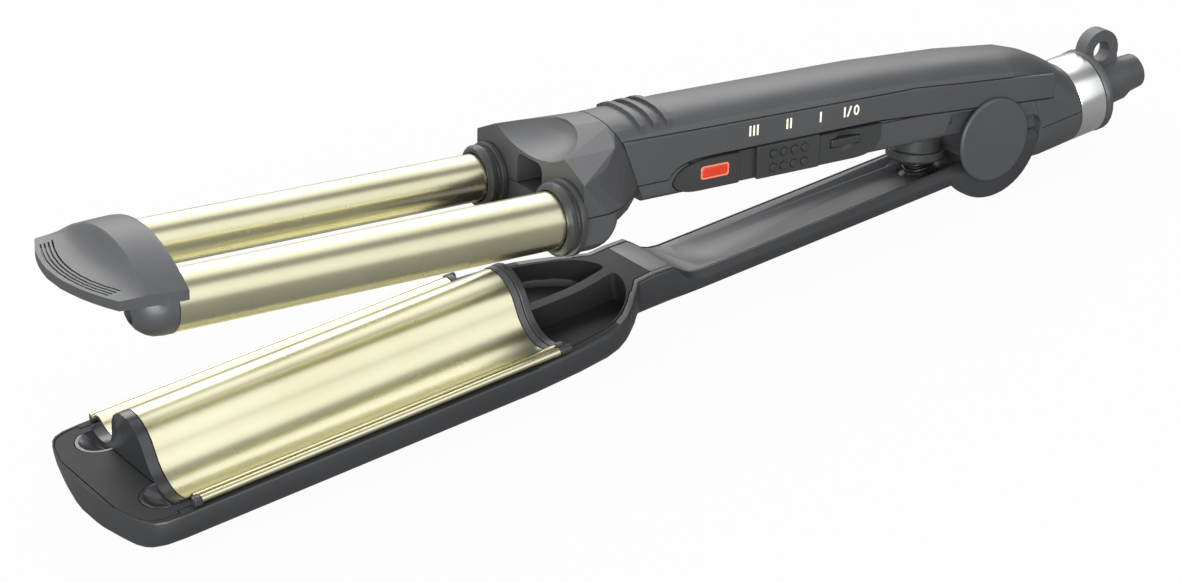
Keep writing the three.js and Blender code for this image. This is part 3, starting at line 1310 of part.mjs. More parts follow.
// Lower arm
const lowerArm = new THREE.Group();
lowerArm.add(
  meshOf('lower_shell', lowerShell(), graphite()),
  meshOf('jaw_cover', jawCover(), black()),
  meshOf('arm_inlay', armInlay(), graphite()),
  meshOf('wave_plate', waveSheet(0, PLATE_THICKNESS, PLATE_FRONT, PLATE_REAR), champagne()),
  meshOf('plate_tip_saddle', plateSaddle(), gloss()),
  meshOf(
    'plate_rear_strip',
    waveSheet(-0.2, PLATE_THICKNESS, PLATE_REAR + FIT, PLATE_REAR + FIT + STRIP_WIDTH),
    graphite(),
  ),
  meshOf('plate_bulkhead', bulkhead(), black()),
  meshOf('edge_rod_near', edgeRod(-1), champagne()),
  meshOf('edge_rod_far', edgeRod(1), champagne()),
  meshOf('rod_clip_near', rodClip(-1), black()),
  meshOf('rod_clip_far', rodClip(1), black()),
  meshOf('plate_heater', plateHeater(), heaterBlock()),
  meshOf('plate_carrier', plateCarrier(), resin()),
  meshOf('hinge_pin', rod(PIN_RADIUS, -ARM_HALF_WIDTH, ARM_HALF_WIDTH, 'y', 24), steel()),
  meshOf('hinge_cap_near', hingeCap(-1), graphite()),
  meshOf('hinge_cap_far', hingeCap(1), graphite()),
  meshOf('spring_seat_lower', lowerSpringSeat(), black()),
  meshOf('opening_spring', springCoil(), steel()),
);
JAW_SCREWS.forEach(([x, y], index) => {
  const name = `jaw_screw_${index + 1}`;
  lowerArm.add(meshOf(name, screwHead(x, y, belly(x), SCREW_RADIUS), steel()));
});

// Upper arm
const blank = handleBlank();
const upperArm = new THREE.Group();
upperArm.add(
  meshOf('handle_top_shell', handleTopShell(blank), graphite()),
  meshOf('handle_bottom_shell', handleBottomShell(blank), graphite()),
  meshOf('side_band_near', sideBand(-1), graphite()),
  meshOf('side_band_far', sideBand(1), graphite()),
  meshOf('holder_upper', holderUpper(), graphite()),
  meshOf('holder_lower', holderLower(), graphite()),
  meshOf('barrel_near', barrel(NEAR_BARREL), champagne()),
  meshOf('barrel_far', barrel(FAR_BARREL), champagne()),
  meshOf('collar_near', collar(NEAR_BARREL), black()),
  meshOf('collar_far', collar(FAR_BARREL), black()),
  meshOf('barrel_heater_near', barrelHeater(NEAR_BARREL), heaterBlock()),
  meshOf('barrel_heater_far', barrelHeater(FAR_BARREL), heaterBlock()),
  meshOf('tip_cap', tipCap(), graphite()),
  meshOf('switch_panel', switchPanel(), black()),
  meshOf('indicator_lens', panelLens(), lensRed()),
  meshOf('temperature_slide', temperatureSlide(), black()),
  meshOf('power_button', powerButton(), black()),
  meshOf('spring_seat_upper', upperSpringSeat(), black()),
  meshOf('hinge_bush_near', hingeBush(-1), brass()),
  meshOf('hinge_bush_far', hingeBush(1), brass()),
);

// Electrical parts inside the handle
const BOARD_X = [-112, -44];
const BOARD_Z = [6.2, 22];
const board = box(BOARD_X, [BOARD_FACE, BOARD_FACE + BOARD_THICKNESS], BOARD_Z);
const behindBoard = BOARD_FACE - FIT;
const switchFront = PANEL_BACK + 1 + FIT;
const slideBody = box([SLIDE_CENTRE - 10, SLIDE_CENTRE + 7], [switchFront, behindBoard], [6.6, 10.8]);
const pushFront = PANEL_BACK + 1.1 + BUTTON_TRAVEL + FIT;
const pushBody = box([BUTTON_CENTRE - 4, BUTTON_CENTRE + 4], [pushFront, behindBoard], [6.6, 12.6]);
const lamp = rod(1.5, PANEL_BACK + FIT, behindBoard, 'y', 16).translate([LENS_CENTRE, 0, LENS_MIDDLE]);
upperArm.add(
  meshOf('control_board', board, boardGreen()),
  meshOf('slide_switch', slideBody, steel()),
  meshOf('push_switch', pushBody, steel()),
  meshOf('indicator_lamp', lamp, resin()),
);
HANDLE_SCREWS.forEach((x, index) => {
  const name = `handle_screw_${index + 1}`;
  upperArm.add(meshOf(name, screwHead(x, 3, HANDLE_BOTTOM, SCREW_RADIUS), steel()));
});

// Tail: the chrome band and the swivel for the cord, level with the lower arm when open
const tail = new THREE.Group();
tail.rotation.y = -OPEN_ANGLE;
const bandFrom = TAIL_END + FIT;
const bandTube = tube(TAIL_RADIUS, TAIL_RADIUS - 2, bandFrom, bandFrom + TAIL_BAND_LENGTH, 'x', 48);
tail.add(
  meshOf('tail_band', bandTube.translate([0, 0, -TAIL_AXIS_DROP]), chrome()),
  meshOf('contact_carrier', contactCarrier(), resin()),
  meshOf('swivel_cap', swivelCap(), graphite()),
  meshOf('slip_ring_1', slipRing(TAIL_END - 2 * SLIP_RING_PITCH), brass()),
  meshOf('slip_ring_2', slipRing(TAIL_END - SLIP_RING_PITCH), brass()),
);
upperArm.add(tail);
upperArm.rotation.y = OPEN_ANGLE;

// The tool lies on its hinge ears and on the front of the jaw's belly
const BELLY_AHEAD = 20;
const BELLY_CONTACT = JAW_FRONT + BELLY_AHEAD;
const contactReach = Math.hypot(BELLY_CONTACT, JAW_BOTTOM);
const REST_TILT = -(Math.asin(EAR_RADIUS / contactReach) - Math.atan2(-JAW_BOTTOM, -BELLY_CONTACT));

const waver = new THREE.Group();
waver.add(lowerArm, upperArm);
waver.rotation.y = REST_TILT;
waver.position.z = EAR_RADIUS;
waver.updateMatrixWorld(true);

// The origin is the middle of the footprint
const footprint = new THREE.Box3().setFromObject(waver, true);
waver.position.x -= (footprint.min.x + footprint.max.x) / 2;

export default waver;
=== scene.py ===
"""Studio scene of a double-barrel hair waver.

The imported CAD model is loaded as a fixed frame. Every visible CAD node is dressed: it gets a welded
copy with rounded edges and a procedural finish, or a detailed piece of its own. The sizes of the
pieces are in millimetres, in the axes of the arm that they belong to. Blender's own units, and the
studio's, are metres.
"""

import json
import logging
import math
from abc import ABC, abstractmethod
from collections.abc import Callable, Sequence
from dataclasses import dataclass
from enum import Enum

import bmesh
import bpy
from mathutils import Matrix, Vector
from mathutils.bvhtree import BVHTree


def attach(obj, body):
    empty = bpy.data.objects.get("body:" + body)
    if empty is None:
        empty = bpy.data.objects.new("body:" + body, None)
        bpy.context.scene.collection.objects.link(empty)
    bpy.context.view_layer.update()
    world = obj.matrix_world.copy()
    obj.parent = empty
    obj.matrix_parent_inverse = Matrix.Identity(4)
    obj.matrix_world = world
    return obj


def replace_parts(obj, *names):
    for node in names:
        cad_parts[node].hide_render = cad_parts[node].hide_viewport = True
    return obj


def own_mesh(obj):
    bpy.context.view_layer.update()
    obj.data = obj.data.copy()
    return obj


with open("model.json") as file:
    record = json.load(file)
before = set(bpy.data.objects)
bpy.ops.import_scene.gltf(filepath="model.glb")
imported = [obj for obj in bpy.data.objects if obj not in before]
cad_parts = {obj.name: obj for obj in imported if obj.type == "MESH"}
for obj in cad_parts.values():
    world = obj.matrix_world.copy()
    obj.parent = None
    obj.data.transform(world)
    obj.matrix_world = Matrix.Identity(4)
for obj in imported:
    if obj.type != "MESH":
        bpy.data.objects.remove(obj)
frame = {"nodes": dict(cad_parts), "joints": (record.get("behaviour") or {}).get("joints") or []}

log = logging.getLogger("waver")
logging.basicConfig(level=logging.INFO, format="%(name)s: %(message)s")

MM = 0.001

# How far the arms stand open at rest
OPEN_ANGLE = math.radians(9.0)

# The bodies of the frame that pieces ride on
LOWER, UPPER, SLIDE, BUTTON, SWIVEL = "lower_arm", "upper_arm", "slide", "button", "swivel"

# Corners as x, z
Outline = Sequence[tuple[float, float]]

# What changes a piece's mesh before and after its edges are rounded
Reform = Callable[[bmesh.types.BMesh], None]
Repaint = Callable[[bpy.types.Mesh], None]


def joint(name: str) -> dict:
    """Find a joint of the frame by its name.

    Args:
        name: The joint's name.

    Returns:
        The joint's entry in the frame.
    """
    return next(item for item in frame["joints"] if item["name"] == name)


def rest_tilt() -> float:
    """Read the tool's small tilt on the floor from the swivel's axis, which runs along the tool.

    Returns:
        The angle about Y, in radians.
    """
    axis = joint("cord_swivel")["axis"]
    return -math.atan2(axis[2], axis[0])


def tool_matrix() -> Matrix:
    """Give the transform from the lower arm's millimetre frame to the scene in metres.

    Returns:
        The 4x4 matrix: X along the closed tool from its hinge, Z up.
    """
    place = Matrix.Translation(Vector(joint("arm_hinge")["pos_m"]))
    return place @ Matrix.Rotation(rest_tilt(), 4, "Y") @ Matrix.Scale(MM, 4)


def upper_matrix() -> Matrix:
    """Give the transform from the upper arm's millimetre frame to the scene in metres.

    Returns:
        The 4x4 matrix.
    """
    return tool_matrix() @ Matrix.Rotation(OPEN_ANGLE, 4, "Y")


def local_box(node: str, matrix: Matrix) -> tuple[Vector, Vector]:
    """Measure a CAD node along the axes of one arm.

    Args:
        node: The CAD node.
        matrix: The arm's transform.

    Returns:
        Lowest and highest corner in the arm's millimetres.
    """
    back = matrix.inverted()
    points = [back @ vertex.co for vertex in frame["nodes"][node].data.vertices]
    low = Vector([min(point[axis] for point in points) for axis in range(3)])
    high = Vector([max(point[axis] for point in points) for axis in range(3)])
    return low, high


class Finish(Enum):
    """The finishes of the part, by the record's material slot, and five more that share one."""

    GRAPHITE = "graphite_plastic"
    BLACK = "black_plastic"
    GLOSS = "gloss_black_plastic"
    CHAMPAGNE = "champagne_metal"
    HEATER = "heater_block"
    RESIN = "heat_resin"
    STEEL = "steel"
    CHROME = "chrome"
    BRASS = "brass"
    LENS = "red_lens"
    BOARD = "circuit_board"
    PRINT = "print_ivory"
    LENS_RIM = "lens_rim"
    MATT = "black_matt"
    JAW = "graphite_jaw"
    SPRING = "spring_wire"


def linear(hex_colour: str) -> tuple[float, float, float, float]:
    """Turn an sRGB hex colour into Blender's linear colour.

    Args:
        hex_colour: The colour as six hex digits.

    Returns:
        Linear red, green, blue and an alpha of one.
    """
    values = [int(hex_colour[i : i + 2], 16) / 255 for i in (0, 2, 4)]
    parts = [v / 12.92 if v <= 0.04045 else ((v + 0.055) / 1.055) ** 2.4 for v in values]
    return (*parts, 1.0)


def add(
    tree: bpy.types.NodeTree, kind: str, inputs: dict | None = None, **settings
) -> bpy.types.Node:
    """Add one node to a tree.

    Args:
        tree: The node tree.
        kind: The node's type name.
        inputs: Values by input name or index.
        **settings: Attributes of the node.

    Returns:
        The new node.
    """
    node = tree.nodes.new(kind)
    for key, value in settings.items():
        setattr(node, key, value)
    for key, value in (inputs or {}).items():
        node.inputs[key].default_value = value
    return node


def wire(
    tree: bpy.types.NodeTree, *lines: tuple[bpy.types.Node, str | int, bpy.types.Node, str | int]
) -> None:
    """Connect nodes of a tree.

    Args:
        tree: The node tree.
        *lines: A node and its output, then the node and the input that this feeds.
    """
    for source, output, target, socket in lines:
        tree.links.new(source.outputs[output], target.inputs[socket])


@dataclass(frozen=True)
class Surface:
    """What a moulded or metal surface looks like."""

    name: str  # Real material and finish
    base: str  # Main colour, sRGB hex
    worn: str  # Second colour of the slow variation, sRGB hex
    roughness: tuple[float, float]  # Lowest and highest roughness
    metallic: float = 0.0  # Share of metal
    grain_mm: float = 0.3  # Size of the fine texture in millimetres
    grain_depth_mm: float = 0.01  # Depth of the fine texture in millimetres, zero for none
    stretch: float = 1.0  # How far the grain is drawn out along X
    coat: float = 0.0  # Weight of the clear coat
    specular: float = 0.5  # Specular level of the base


SURFACES: dict[Finish, Surface] = {
    # Moulded in a finely spark-eroded tool: dark and even, with a soft broad sheen
    Finish.GRAPHITE: Surface(
        "graphite_pc_spark_eroded", "464749", "424345", (0.4, 0.46), 0.0, 0.35, 0.008, specular=0.65
    ),
    # Glass-filled and smoother: deeper black with a tighter sheen
    Finish.BLACK: Surface("black_pbt_satin", "363737", "323333", (0.36, 0.42), 0.0, 0.35, 0.005),
    # From a polished tool: bluish black with small clear lights on its curves
    Finish.GLOSS: Surface(
        "black_pps_polished", "292A2F", "2D2E33", (0.22, 0.3), 0.0, 1.5, 0.003, coat=0.15
    ),
    # Sprayed over drawn aluminium: long soft streaks of light and no grain at all
    Finish.CHAMPAGNE: Surface(
        "champagne_ceramic_coat_on_aluminium",
        "DCD9BB",
        "D6D2B2",
        (0.26, 0.29),
        metallic=1.0,
        grain_depth_mm=0.0,
    ),
    # Bare and extruded: pale grey with fine lines along its length
    Finish.HEATER: Surface(
        "aluminium_as_extruded", "B8BABC", "A8AAAC", (0.4, 0.55), 1.0, 0.4, 0.01, 9
    ),
    # Filled with mineral against the heat: chalky ivory without any shine
    Finish.RESIN: Surface("heat_resin_ivory", "E4E0D4", "D8D3C6", (0.5, 0.6), 0.0, 0.5, 0.01),
    # Plated in a barrel: cool grey with a clouded shine
    Finish.STEEL: Surface(
        "zinc_plated_steel", "B9BCC0", "A4A7AC", (0.25, 0.38), 1.0, 0.3, 0.006, 3
    ),
    # Electroplated over bead-blasted plastic: soft mirror bands and no grain at all
    Finish.CHROME: Surface(
        "satin_chrome_plate", "F2F3F4", "ECEEEF", (0.2, 0.23), 1.0, grain_depth_mm=0.0
    ),
    # Turned and left bare: warm yellow with a tool's faint roughness
    Finish.BRASS: Surface("turned_brass", "C9A54C", "BC9742", (0.25, 0.35), 1.0, 0.3, 0.006),
    # Tinted through: deep red that glows a little from behind, under a clear skin
    Finish.LENS: Surface("red_pc_lens", "C73A22", "B8301A", (0.2, 0.26), 0.0, 1.0, 0.004, coat=0.3),
    # Solder mask over glass weave: dark green with a low gloss
    Finish.BOARD: Surface("fr4_green_mask", "1F5B3A", "1A4F32", (0.3, 0.4), 0.0, 0.8, 0.01),
    # The lens's moulded edge, painted paler and more orange: a painted highlight of the light that
    # gathers there
    Finish.LENS_RIM: Surface("red_pc_lens_edge_highlight", "F08A68", "E97F5C", (0.2, 0.28), 0.0, 1.0, 0.003),
    # The jaw's shell: the same resin from a smoother tool, its colour painted a shade darker than the
    # handle's as painted shade for its lower, less lit place
    Finish.JAW: Surface(
        "graphite_pc_fine_eroded_painted_shade", "323336", "2E2F32", (0.38, 0.44), 0.0, 0.35, 0.006, specular=0.6
    ),
    # The jaw's flat cover: mineral-filled, dead matt and nearly black; also laid on as painted shade
    # on the jaw rim's top and round the slide's dots
    Finish.MATT: Surface(
        "black_pbt_matt", "232424", "1F2020", (0.6, 0.7), 0.0, 0.4, 0.006, specular=0.3
    ),
    # Spring wire painted dark brown-black, with a dull shine: painted shade, as the coil sits in deep
    # shadow under its cup
    Finish.SPRING: Surface(
        "spring_wire_painted_shade", "3A3835", "2E2C2A", (0.35, 0.45), 0.8, 0.3, 0.004, 3
    ),
    # Pad-printed ink: flat ivory with the faintest tooth
    Finish.PRINT: Surface("pad_print_ivory", "FBF7E6", "F6F1DC", (0.45, 0.55), 0.0, 0.2, 0.002),
}

# Finishes that the record has no slot of their own for
RECORD_SLOT: dict[Finish, Finish] = {
    Finish.PRINT: Finish.RESIN,
    Finish.LENS_RIM: Finish.LENS,
    Finish.MATT: Finish.BLACK,
    Finish.JAW: Finish.GRAPHITE,
    Finish.SPRING: Finish.STEEL,
}


class MaterialLibrary:
    """Builds each procedural material once."""

    COAT_ROUGHNESS = 0.04

    # Colour and strength of the glow behind the indicator's lens
    LENS_GLOW = ("D8401F", 0.12)

    # The slow variation: its scale per metre, and the part of its range that tint and gloss use
    SLOW_NOISE = {"Scale": 38.0, "Detail": 3.0, "Roughness": 0.55}
    TINT_RANGE = (0.35, 0.65)
    GLOSS_RANGE = (0.3, 0.7)

    # The fine grain, whose cells are one unit of the scaled coordinates across
    GRAIN_NOISE = {"Scale": 1.0, "Detail": 2.0, "Roughness": 0.6}
    GRAIN_STRENGTH = 0.6

    def __init__(self) -> None:
        self._made: dict[Finish, bpy.types.Material] = {}

    def get(self, finish: Finish) -> bpy.types.Material:
        """Give the material of a finish.

        Args:
            finish: The finish.

        Returns:
            The shared material.
        """
        if finish not in self._made:
            self._made[finish] = self._build(SURFACES[finish], finish)
            log.info("material %s", SURFACES[finish].name)
        return self._made[finish]

    def _build(self, surface: Surface, finish: Finish) -> bpy.types.Material:
        """Build one material: slow colour and roughness variation, and a fine grain as bump.

        Args:
            surface: The surface's data.
            finish: Which finish it is.

        Returns:
            The new material.
        """
        material = bpy.data.materials.new(surface.name)
        material.use_nodes = True
        tree = material.node_tree
        shader = tree.nodes["Principled BSDF"]
        shader.inputs["Metallic"].default_value = surface.metallic
        shader.inputs["Specular IOR Level"].default_value = surface.specular
        shader.inputs["Coat Weight"].default_value = surface.coat
        shader.inputs["Coat Roughness"].default_value = self.COAT_ROUGHNESS
        if finish is Finish.LENS:
            shader.inputs["Emission Color"].default_value = linear(self.LENS_GLOW[0])
            shader.inputs["Emission Strength"].default_value = self.LENS_GLOW[1]
        place = add(tree, "ShaderNodeTexCoord")

        # Slow variation of a moulded or coated skin, some centimetres across
        slow = add(tree, "ShaderNodeTexNoise", self.SLOW_NOISE)
        tint = add(tree, "ShaderNodeValToRGB")
        stops = zip(tint.color_ramp.elements, self.TINT_RANGE, (surface.worn, surface.base))
        for stop, position, colour in stops:
            stop.position = position
            stop.color = linear(colour)
        ends = ("From Min", "From Max", "To Min", "To Max")
        levels = dict(zip(ends, self.GLOSS_RANGE + surface.roughness))
        gloss = add(tree, "ShaderNodeMapRange", levels)
        wire(
            tree,
            (place, "Object", slow, "Vector"),
            (slow, "Fac", tint, "Fac"),
            (tint, "Color", shader, "Base Color"),
            (slow, "Fac", gloss, "Value"),
            (gloss, "Result", shader, "Roughness"),
        )
        if surface.grain_depth_mm == 0.0:
            return material

        # Fine grain: spark-eroded pits on plastic, drawn-out hairlines on metal
        cells = 1.0 / (surface.grain_mm * MM)
        scale = {"Scale": (cells / surface.stretch, cells, cells)}
        scaled = add(tree, "ShaderNodeMapping", scale)
        grain = add(tree, "ShaderNodeTexNoise", self.GRAIN_NOISE)
        depth = surface.grain_depth_mm * MM
        bump = add(tree, "ShaderNodeBump", {"Strength": self.GRAIN_STRENGTH, "Distance": depth})
        wire(
            tree,
            (place, "Object", scaled, "Vector"),
            (scaled, "Vector", grain, "Vector"),
            (grain, "Fac", bump, "Height"),
            (bump, "Normal", shader, "Normal"),
        )
        return material


@dataclass(frozen=True)
class Dressing:
    """How a piece is finished."""

    name: str  # The CAD node that it dresses, or its own name
    body: str  # The body it rides on
    finish: Finish  # Its finish
    bevel_mm: float = 0.0  # Width of the rounded edges, zero for none
    segments: int = 2  # Steps across a rounded edge
    crease_deg: float = 32.0  # Edges sharper than this are rounded
    even: bool = True  # Whether large faces rule the shading beside rounded edges
    merge_deg: float = 0.03  # Faces of a CAD node that meet flatter than this become one


def baked(obj: bpy.types.Object) -> None:
    """Apply an object's modifiers to its mesh.

    Args:
        obj: The object.
    """
    graph = bpy.context.evaluated_depsgraph_get()
    mesh = bpy.data.meshes.new_from_object(obj.evaluated_get(graph))
    obj.modifiers.clear()
    obj.data = mesh


def linked(name: str, data: bpy.types.ID) -> bpy.types.Object:
    """Put a mesh, a lamp or a camera into the scene as an object at the origin.

    Args:
        name: The object's name.
        data: Its data.

    Returns:
        The object.
    """
    obj = bpy.data.objects.new(name, data)
    bpy.context.collection.objects.link(obj)
    return obj


# Corners nearer than this are one, in the unit of the form
SAME_POINT = 1e-4

# Steps of the quarter circle at a rounded corner
CORNER_STEPS = 4


def to_mesh(form: bmesh.types.BMesh) -> bpy.types.Mesh:
    """Turn a bmesh into a mesh with outward faces.

    Args:
        form: The bmesh, which is freed.

    Returns:
        The mesh.
    """
    bmesh.ops.remove_doubles(form, verts=form.verts, dist=SAME_POINT)
    bmesh.ops.recalc_face_normals(form, faces=form.faces)
    mesh = bpy.data.meshes.new("form")
    form.to_mesh(mesh)
    form.free()
    return mesh


def plate(
    outline: Outline, depth: tuple[float, float], hole: Outline | None = None
) -> bpy.types.Mesh:
    """Make a plate from an outline in X and Z, between two places on Y.

    Args:
        outline: Its corners.
        depth: Lowest and highest y.
        hole: The corners of a hole through it, as many as its own.

    Returns:
        The mesh.
    """
    form = bmesh.new()
    shapes = (outline, hole) if hole else (outline,)
    rings = [[form.verts.new((x, y, z)) for x, z in shape] for shape in shapes for y in depth]
    if hole:
        rings = [rings[0], rings[1], rings[3], rings[2], rings[0]]
    else:
        form.faces.new(rings[0])
        form.faces.new(rings[1][::-1])
    for first, second in zip(rings, rings[1:]):
        for i in range(len(first)):
            form.faces.new((first[i - 1], second[i - 1], second[i], first[i]))
    return to_mesh(form)


def rounded_outline(middle: Vector, size: tuple[float, float], corner: float) -> Outline:
    """Draw a rectangle with rounded corners in X and Z.

    Args:
        middle: Its middle.
        size: Width and height.
        corner: Radius of the corners.

    Returns:
        Corners as x, z.
    """
    points = []
    for side_x, side_z, start in ((1, 1, 0.0), (-1, 1, 0.5), (-1, -1, 1.0), (1, -1, 1.5)):
        for i in range(CORNER_STEPS + 1):
            angle = math.pi * (start + i / (2 * CORNER_STEPS))
            x = middle.x + side_x * (size[0] / 2 - corner) + corner * math.cos(angle)
            z = middle.z + side_z * (size[1] / 2 - corner) + corner * math.sin(angle)
            points.append((x, z))
    return points


def turned_form(profile: Outline, sides: int) -> bpy.types.Mesh:
    """Turn a profile of radius and height about Z.

    Args:
        profile: Points from the axis to the axis.
        sides: Steps round the axis.

    Returns:
        The closed mesh.
    """
    form = bmesh.new()
    points = [form.verts.new((radius, 0.0, height)) for radius, height in profile]
    edges = [form.edges.new(pair) for pair in zip(points, points[1:])]
    turn = {"axis": (0, 0, 1), "cent": (0, 0, 0), "angle": math.tau, "steps": sides}
    bmesh.ops.spin(form, geom=points + edges, use_merge=True, **turn)
    return to_mesh(form)


@dataclass(frozen=True)
class Repeat:
    """A Geometry Nodes tree that sets copies of one small form on a grid in the XY plane."""

    name: str  # The tree's name
    across: int  # Copies along X
    up: int  # Copies along Y
    pitch_x: float  # Distance between copies along X
    pitch_y: float = 1.0  # Distance between copies along Y

    def make(self, unit: bpy.types.Mesh, material: bpy.types.Material) -> bpy.types.Mesh:
        """Build the tree, set the copies and bake them.

        Args:
            unit: The form that repeats, round the origin.
            material: Its material.

        Returns:
            One plain mesh, centred on the origin.
        """
        tree = bpy.data.node_groups.new(self.name, "GeometryNodeTree")
        obj = linked(self.name, unit)
        repeat = obj.modifiers.new("repeat", "NODES")
        face = tree.interface
        face.new_socket("Geometry", in_out="INPUT", socket_type="NodeSocketGeometry")
        face.new_socket("Geometry", in_out="OUTPUT", socket_type="NodeSocketGeometry")
        values = {}
        for label, kind, value in (
            ("Across", "Int", self.across),
            ("Up", "Int", self.up),
            ("Width", "Float", self.pitch_x * (self.across - 1)),
            ("Height", "Float", self.pitch_y * (self.up - 1)),
            ("Material", "Material", material),
        ):
            socket = face.new_socket(label, in_out="INPUT", socket_type=f"NodeSocket{kind}")
            values[socket.identifier] = value
        start = add(tree, "NodeGroupInput")
        end = add(tree, "NodeGroupOutput")
        grid = add(tree, "GeometryNodeMeshGrid")
        points = add(tree, "GeometryNodeMeshToPoints")
        copies = add(tree, "GeometryNodeInstanceOnPoints")
        real = add(tree, "GeometryNodeRealizeInstances")
        paint = add(tree, "GeometryNodeSetMaterial")
        wire(
            tree,
            (start, "Width", grid, "Size X"),
            (start, "Height", grid, "Size Y"),
            (start, "Across", grid, "Vertices X"),
            (start, "Up", grid, "Vertices Y"),
            (grid, "Mesh", points, "Mesh"),
            (points, "Points", copies, "Points"),
            (start, "Geometry", copies, "Instance"),
            (copies, "Instances", real, "Geometry"),
            (real, "Geometry", paint, "Geometry"),
            (start, "Material", paint, "Material"),
            (paint, "Geometry", end, "Geometry"),
        )
        repeat.node_group = tree
        for identifier, value in values.items():
            repeat[identifier] = value
        baked(obj)
        mesh = obj.data
        bpy.data.objects.remove(obj)
        return mesh


# Turns a form that lies in the XY plane to stand on the handle's camera side, facing -Y
FACING_SIDE = Matrix.Rotation(math.pi / 2, 4, "X")


class Bench:
    """Finishes pieces: gives them rounded edges, a material, a place and a body."""

    # Corners of a CAD mesh that lie nearer than this are one, in metres
    WELD = 0.004 * MM

    # How far large faces rule the shading beside rounded edges, in percent
    FLATS_RULE = 80

    def __init__(self, materials: MaterialLibrary) -> None:
        self.materials = materials

    def dress(
        self, how: Dressing, reform: Reform | None = None, repaint: Repaint | None = None
    ) -> bpy.types.Object:
        """Replace a CAD node by a welded copy with rounded edges and a finish.

        Args:
            how: How the node is dressed.
            reform: Changes the copy's form, in metres, before its edges are rounded.
            repaint: Changes the finish of some of its faces after that.

        Returns:
            The dressed piece.
        """
        mesh = frame["nodes"][how.name].data.copy()
        form = bmesh.new()
        form.from_mesh(mesh)
        bmesh.ops.remove_doubles(form, verts=form.verts, dist=self.WELD)
        bmesh.ops.dissolve_degenerate(form, dist=self.WELD, edges=form.edges)
        flat = math.radians(how.merge_deg)
        bmesh.ops.dissolve_limit(form, angle_limit=flat, verts=form.verts, edges=form.edges)
        if reform:
            reform(form)
        form.to_mesh(mesh)
        form.free()
        obj = self._finish(f"{how.name}_dressed", mesh, how, repaint)
        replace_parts(obj, how.name)
        return obj

    def fit(self, mesh: bpy.types.Mesh, place: Matrix, how: Dressing) -> bpy.types.Object:
        """Finish a new piece that is modelled in an arm's millimetres.

        Args:
            mesh: The mesh.
            place: From its millimetres to the scene.
            how: How the piece is finished.

        Returns:
            The piece.
        """
        mesh.transform(place)
        return self._finish(how.name, mesh, how)

    def paint(self, mesh: bpy.types.Mesh, finish: Finish) -> None:
        """Give a mesh a finish in place of its own.

        Args:
            mesh: The mesh.
            finish: The finish.
        """
        mesh.materials.clear()
        mesh.materials.append(self.materials.get(finish))

    def _finish(
        self, name: str, mesh: bpy.types.Mesh, how: Dressing, repaint: Repaint | None = None
    ) -> bpy.types.Object:
        """Paint a mesh, round its sharp edges, and let it ride on its body.

        Args:
            name: The piece's name.
            mesh: The mesh, in metres.
            how: How the piece is finished.
            repaint: Changes the finish of some of its faces.

        Returns:
            The piece.
        """
        self.paint(mesh, how.finish)
        obj = linked(name, mesh)
        mesh.shade_smooth()
        mesh.set_sharp_from_angle(angle=math.radians(how.crease_deg))
        if how.bevel_mm > 0:
            bevel = obj.modifiers.new("rounded_edges", "BEVEL")
            bevel.width = how.bevel_mm * MM
            bevel.segments = how.segments
            bevel.limit_method = "ANGLE"
            bevel.angle_limit = math.radians(how.crease_deg)
            if how.even:
                flats = obj.modifiers.new("even_shading", "WEIGHTED_NORMAL")
                flats.mode = "FACE_AREA"
                flats.weight = self.FLATS_RULE
                flats.keep_sharp = True
            baked(obj)
        if repaint:
            repaint(obj.data)
        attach(obj, how.body)
        RECORD_SLOT.get(how.finish, how.finish).value
        log.info("piece %s on %s, %d faces", name, how.body, len(obj.data.polygons))
        return obj


class Assembly(ABC):
    """Pieces that belong together."""

    @abstractmethod
    def build(self, bench: Bench) -> None:
        """Build the pieces, or dress them.

        Args:
            bench: Finishes the pieces.
        """


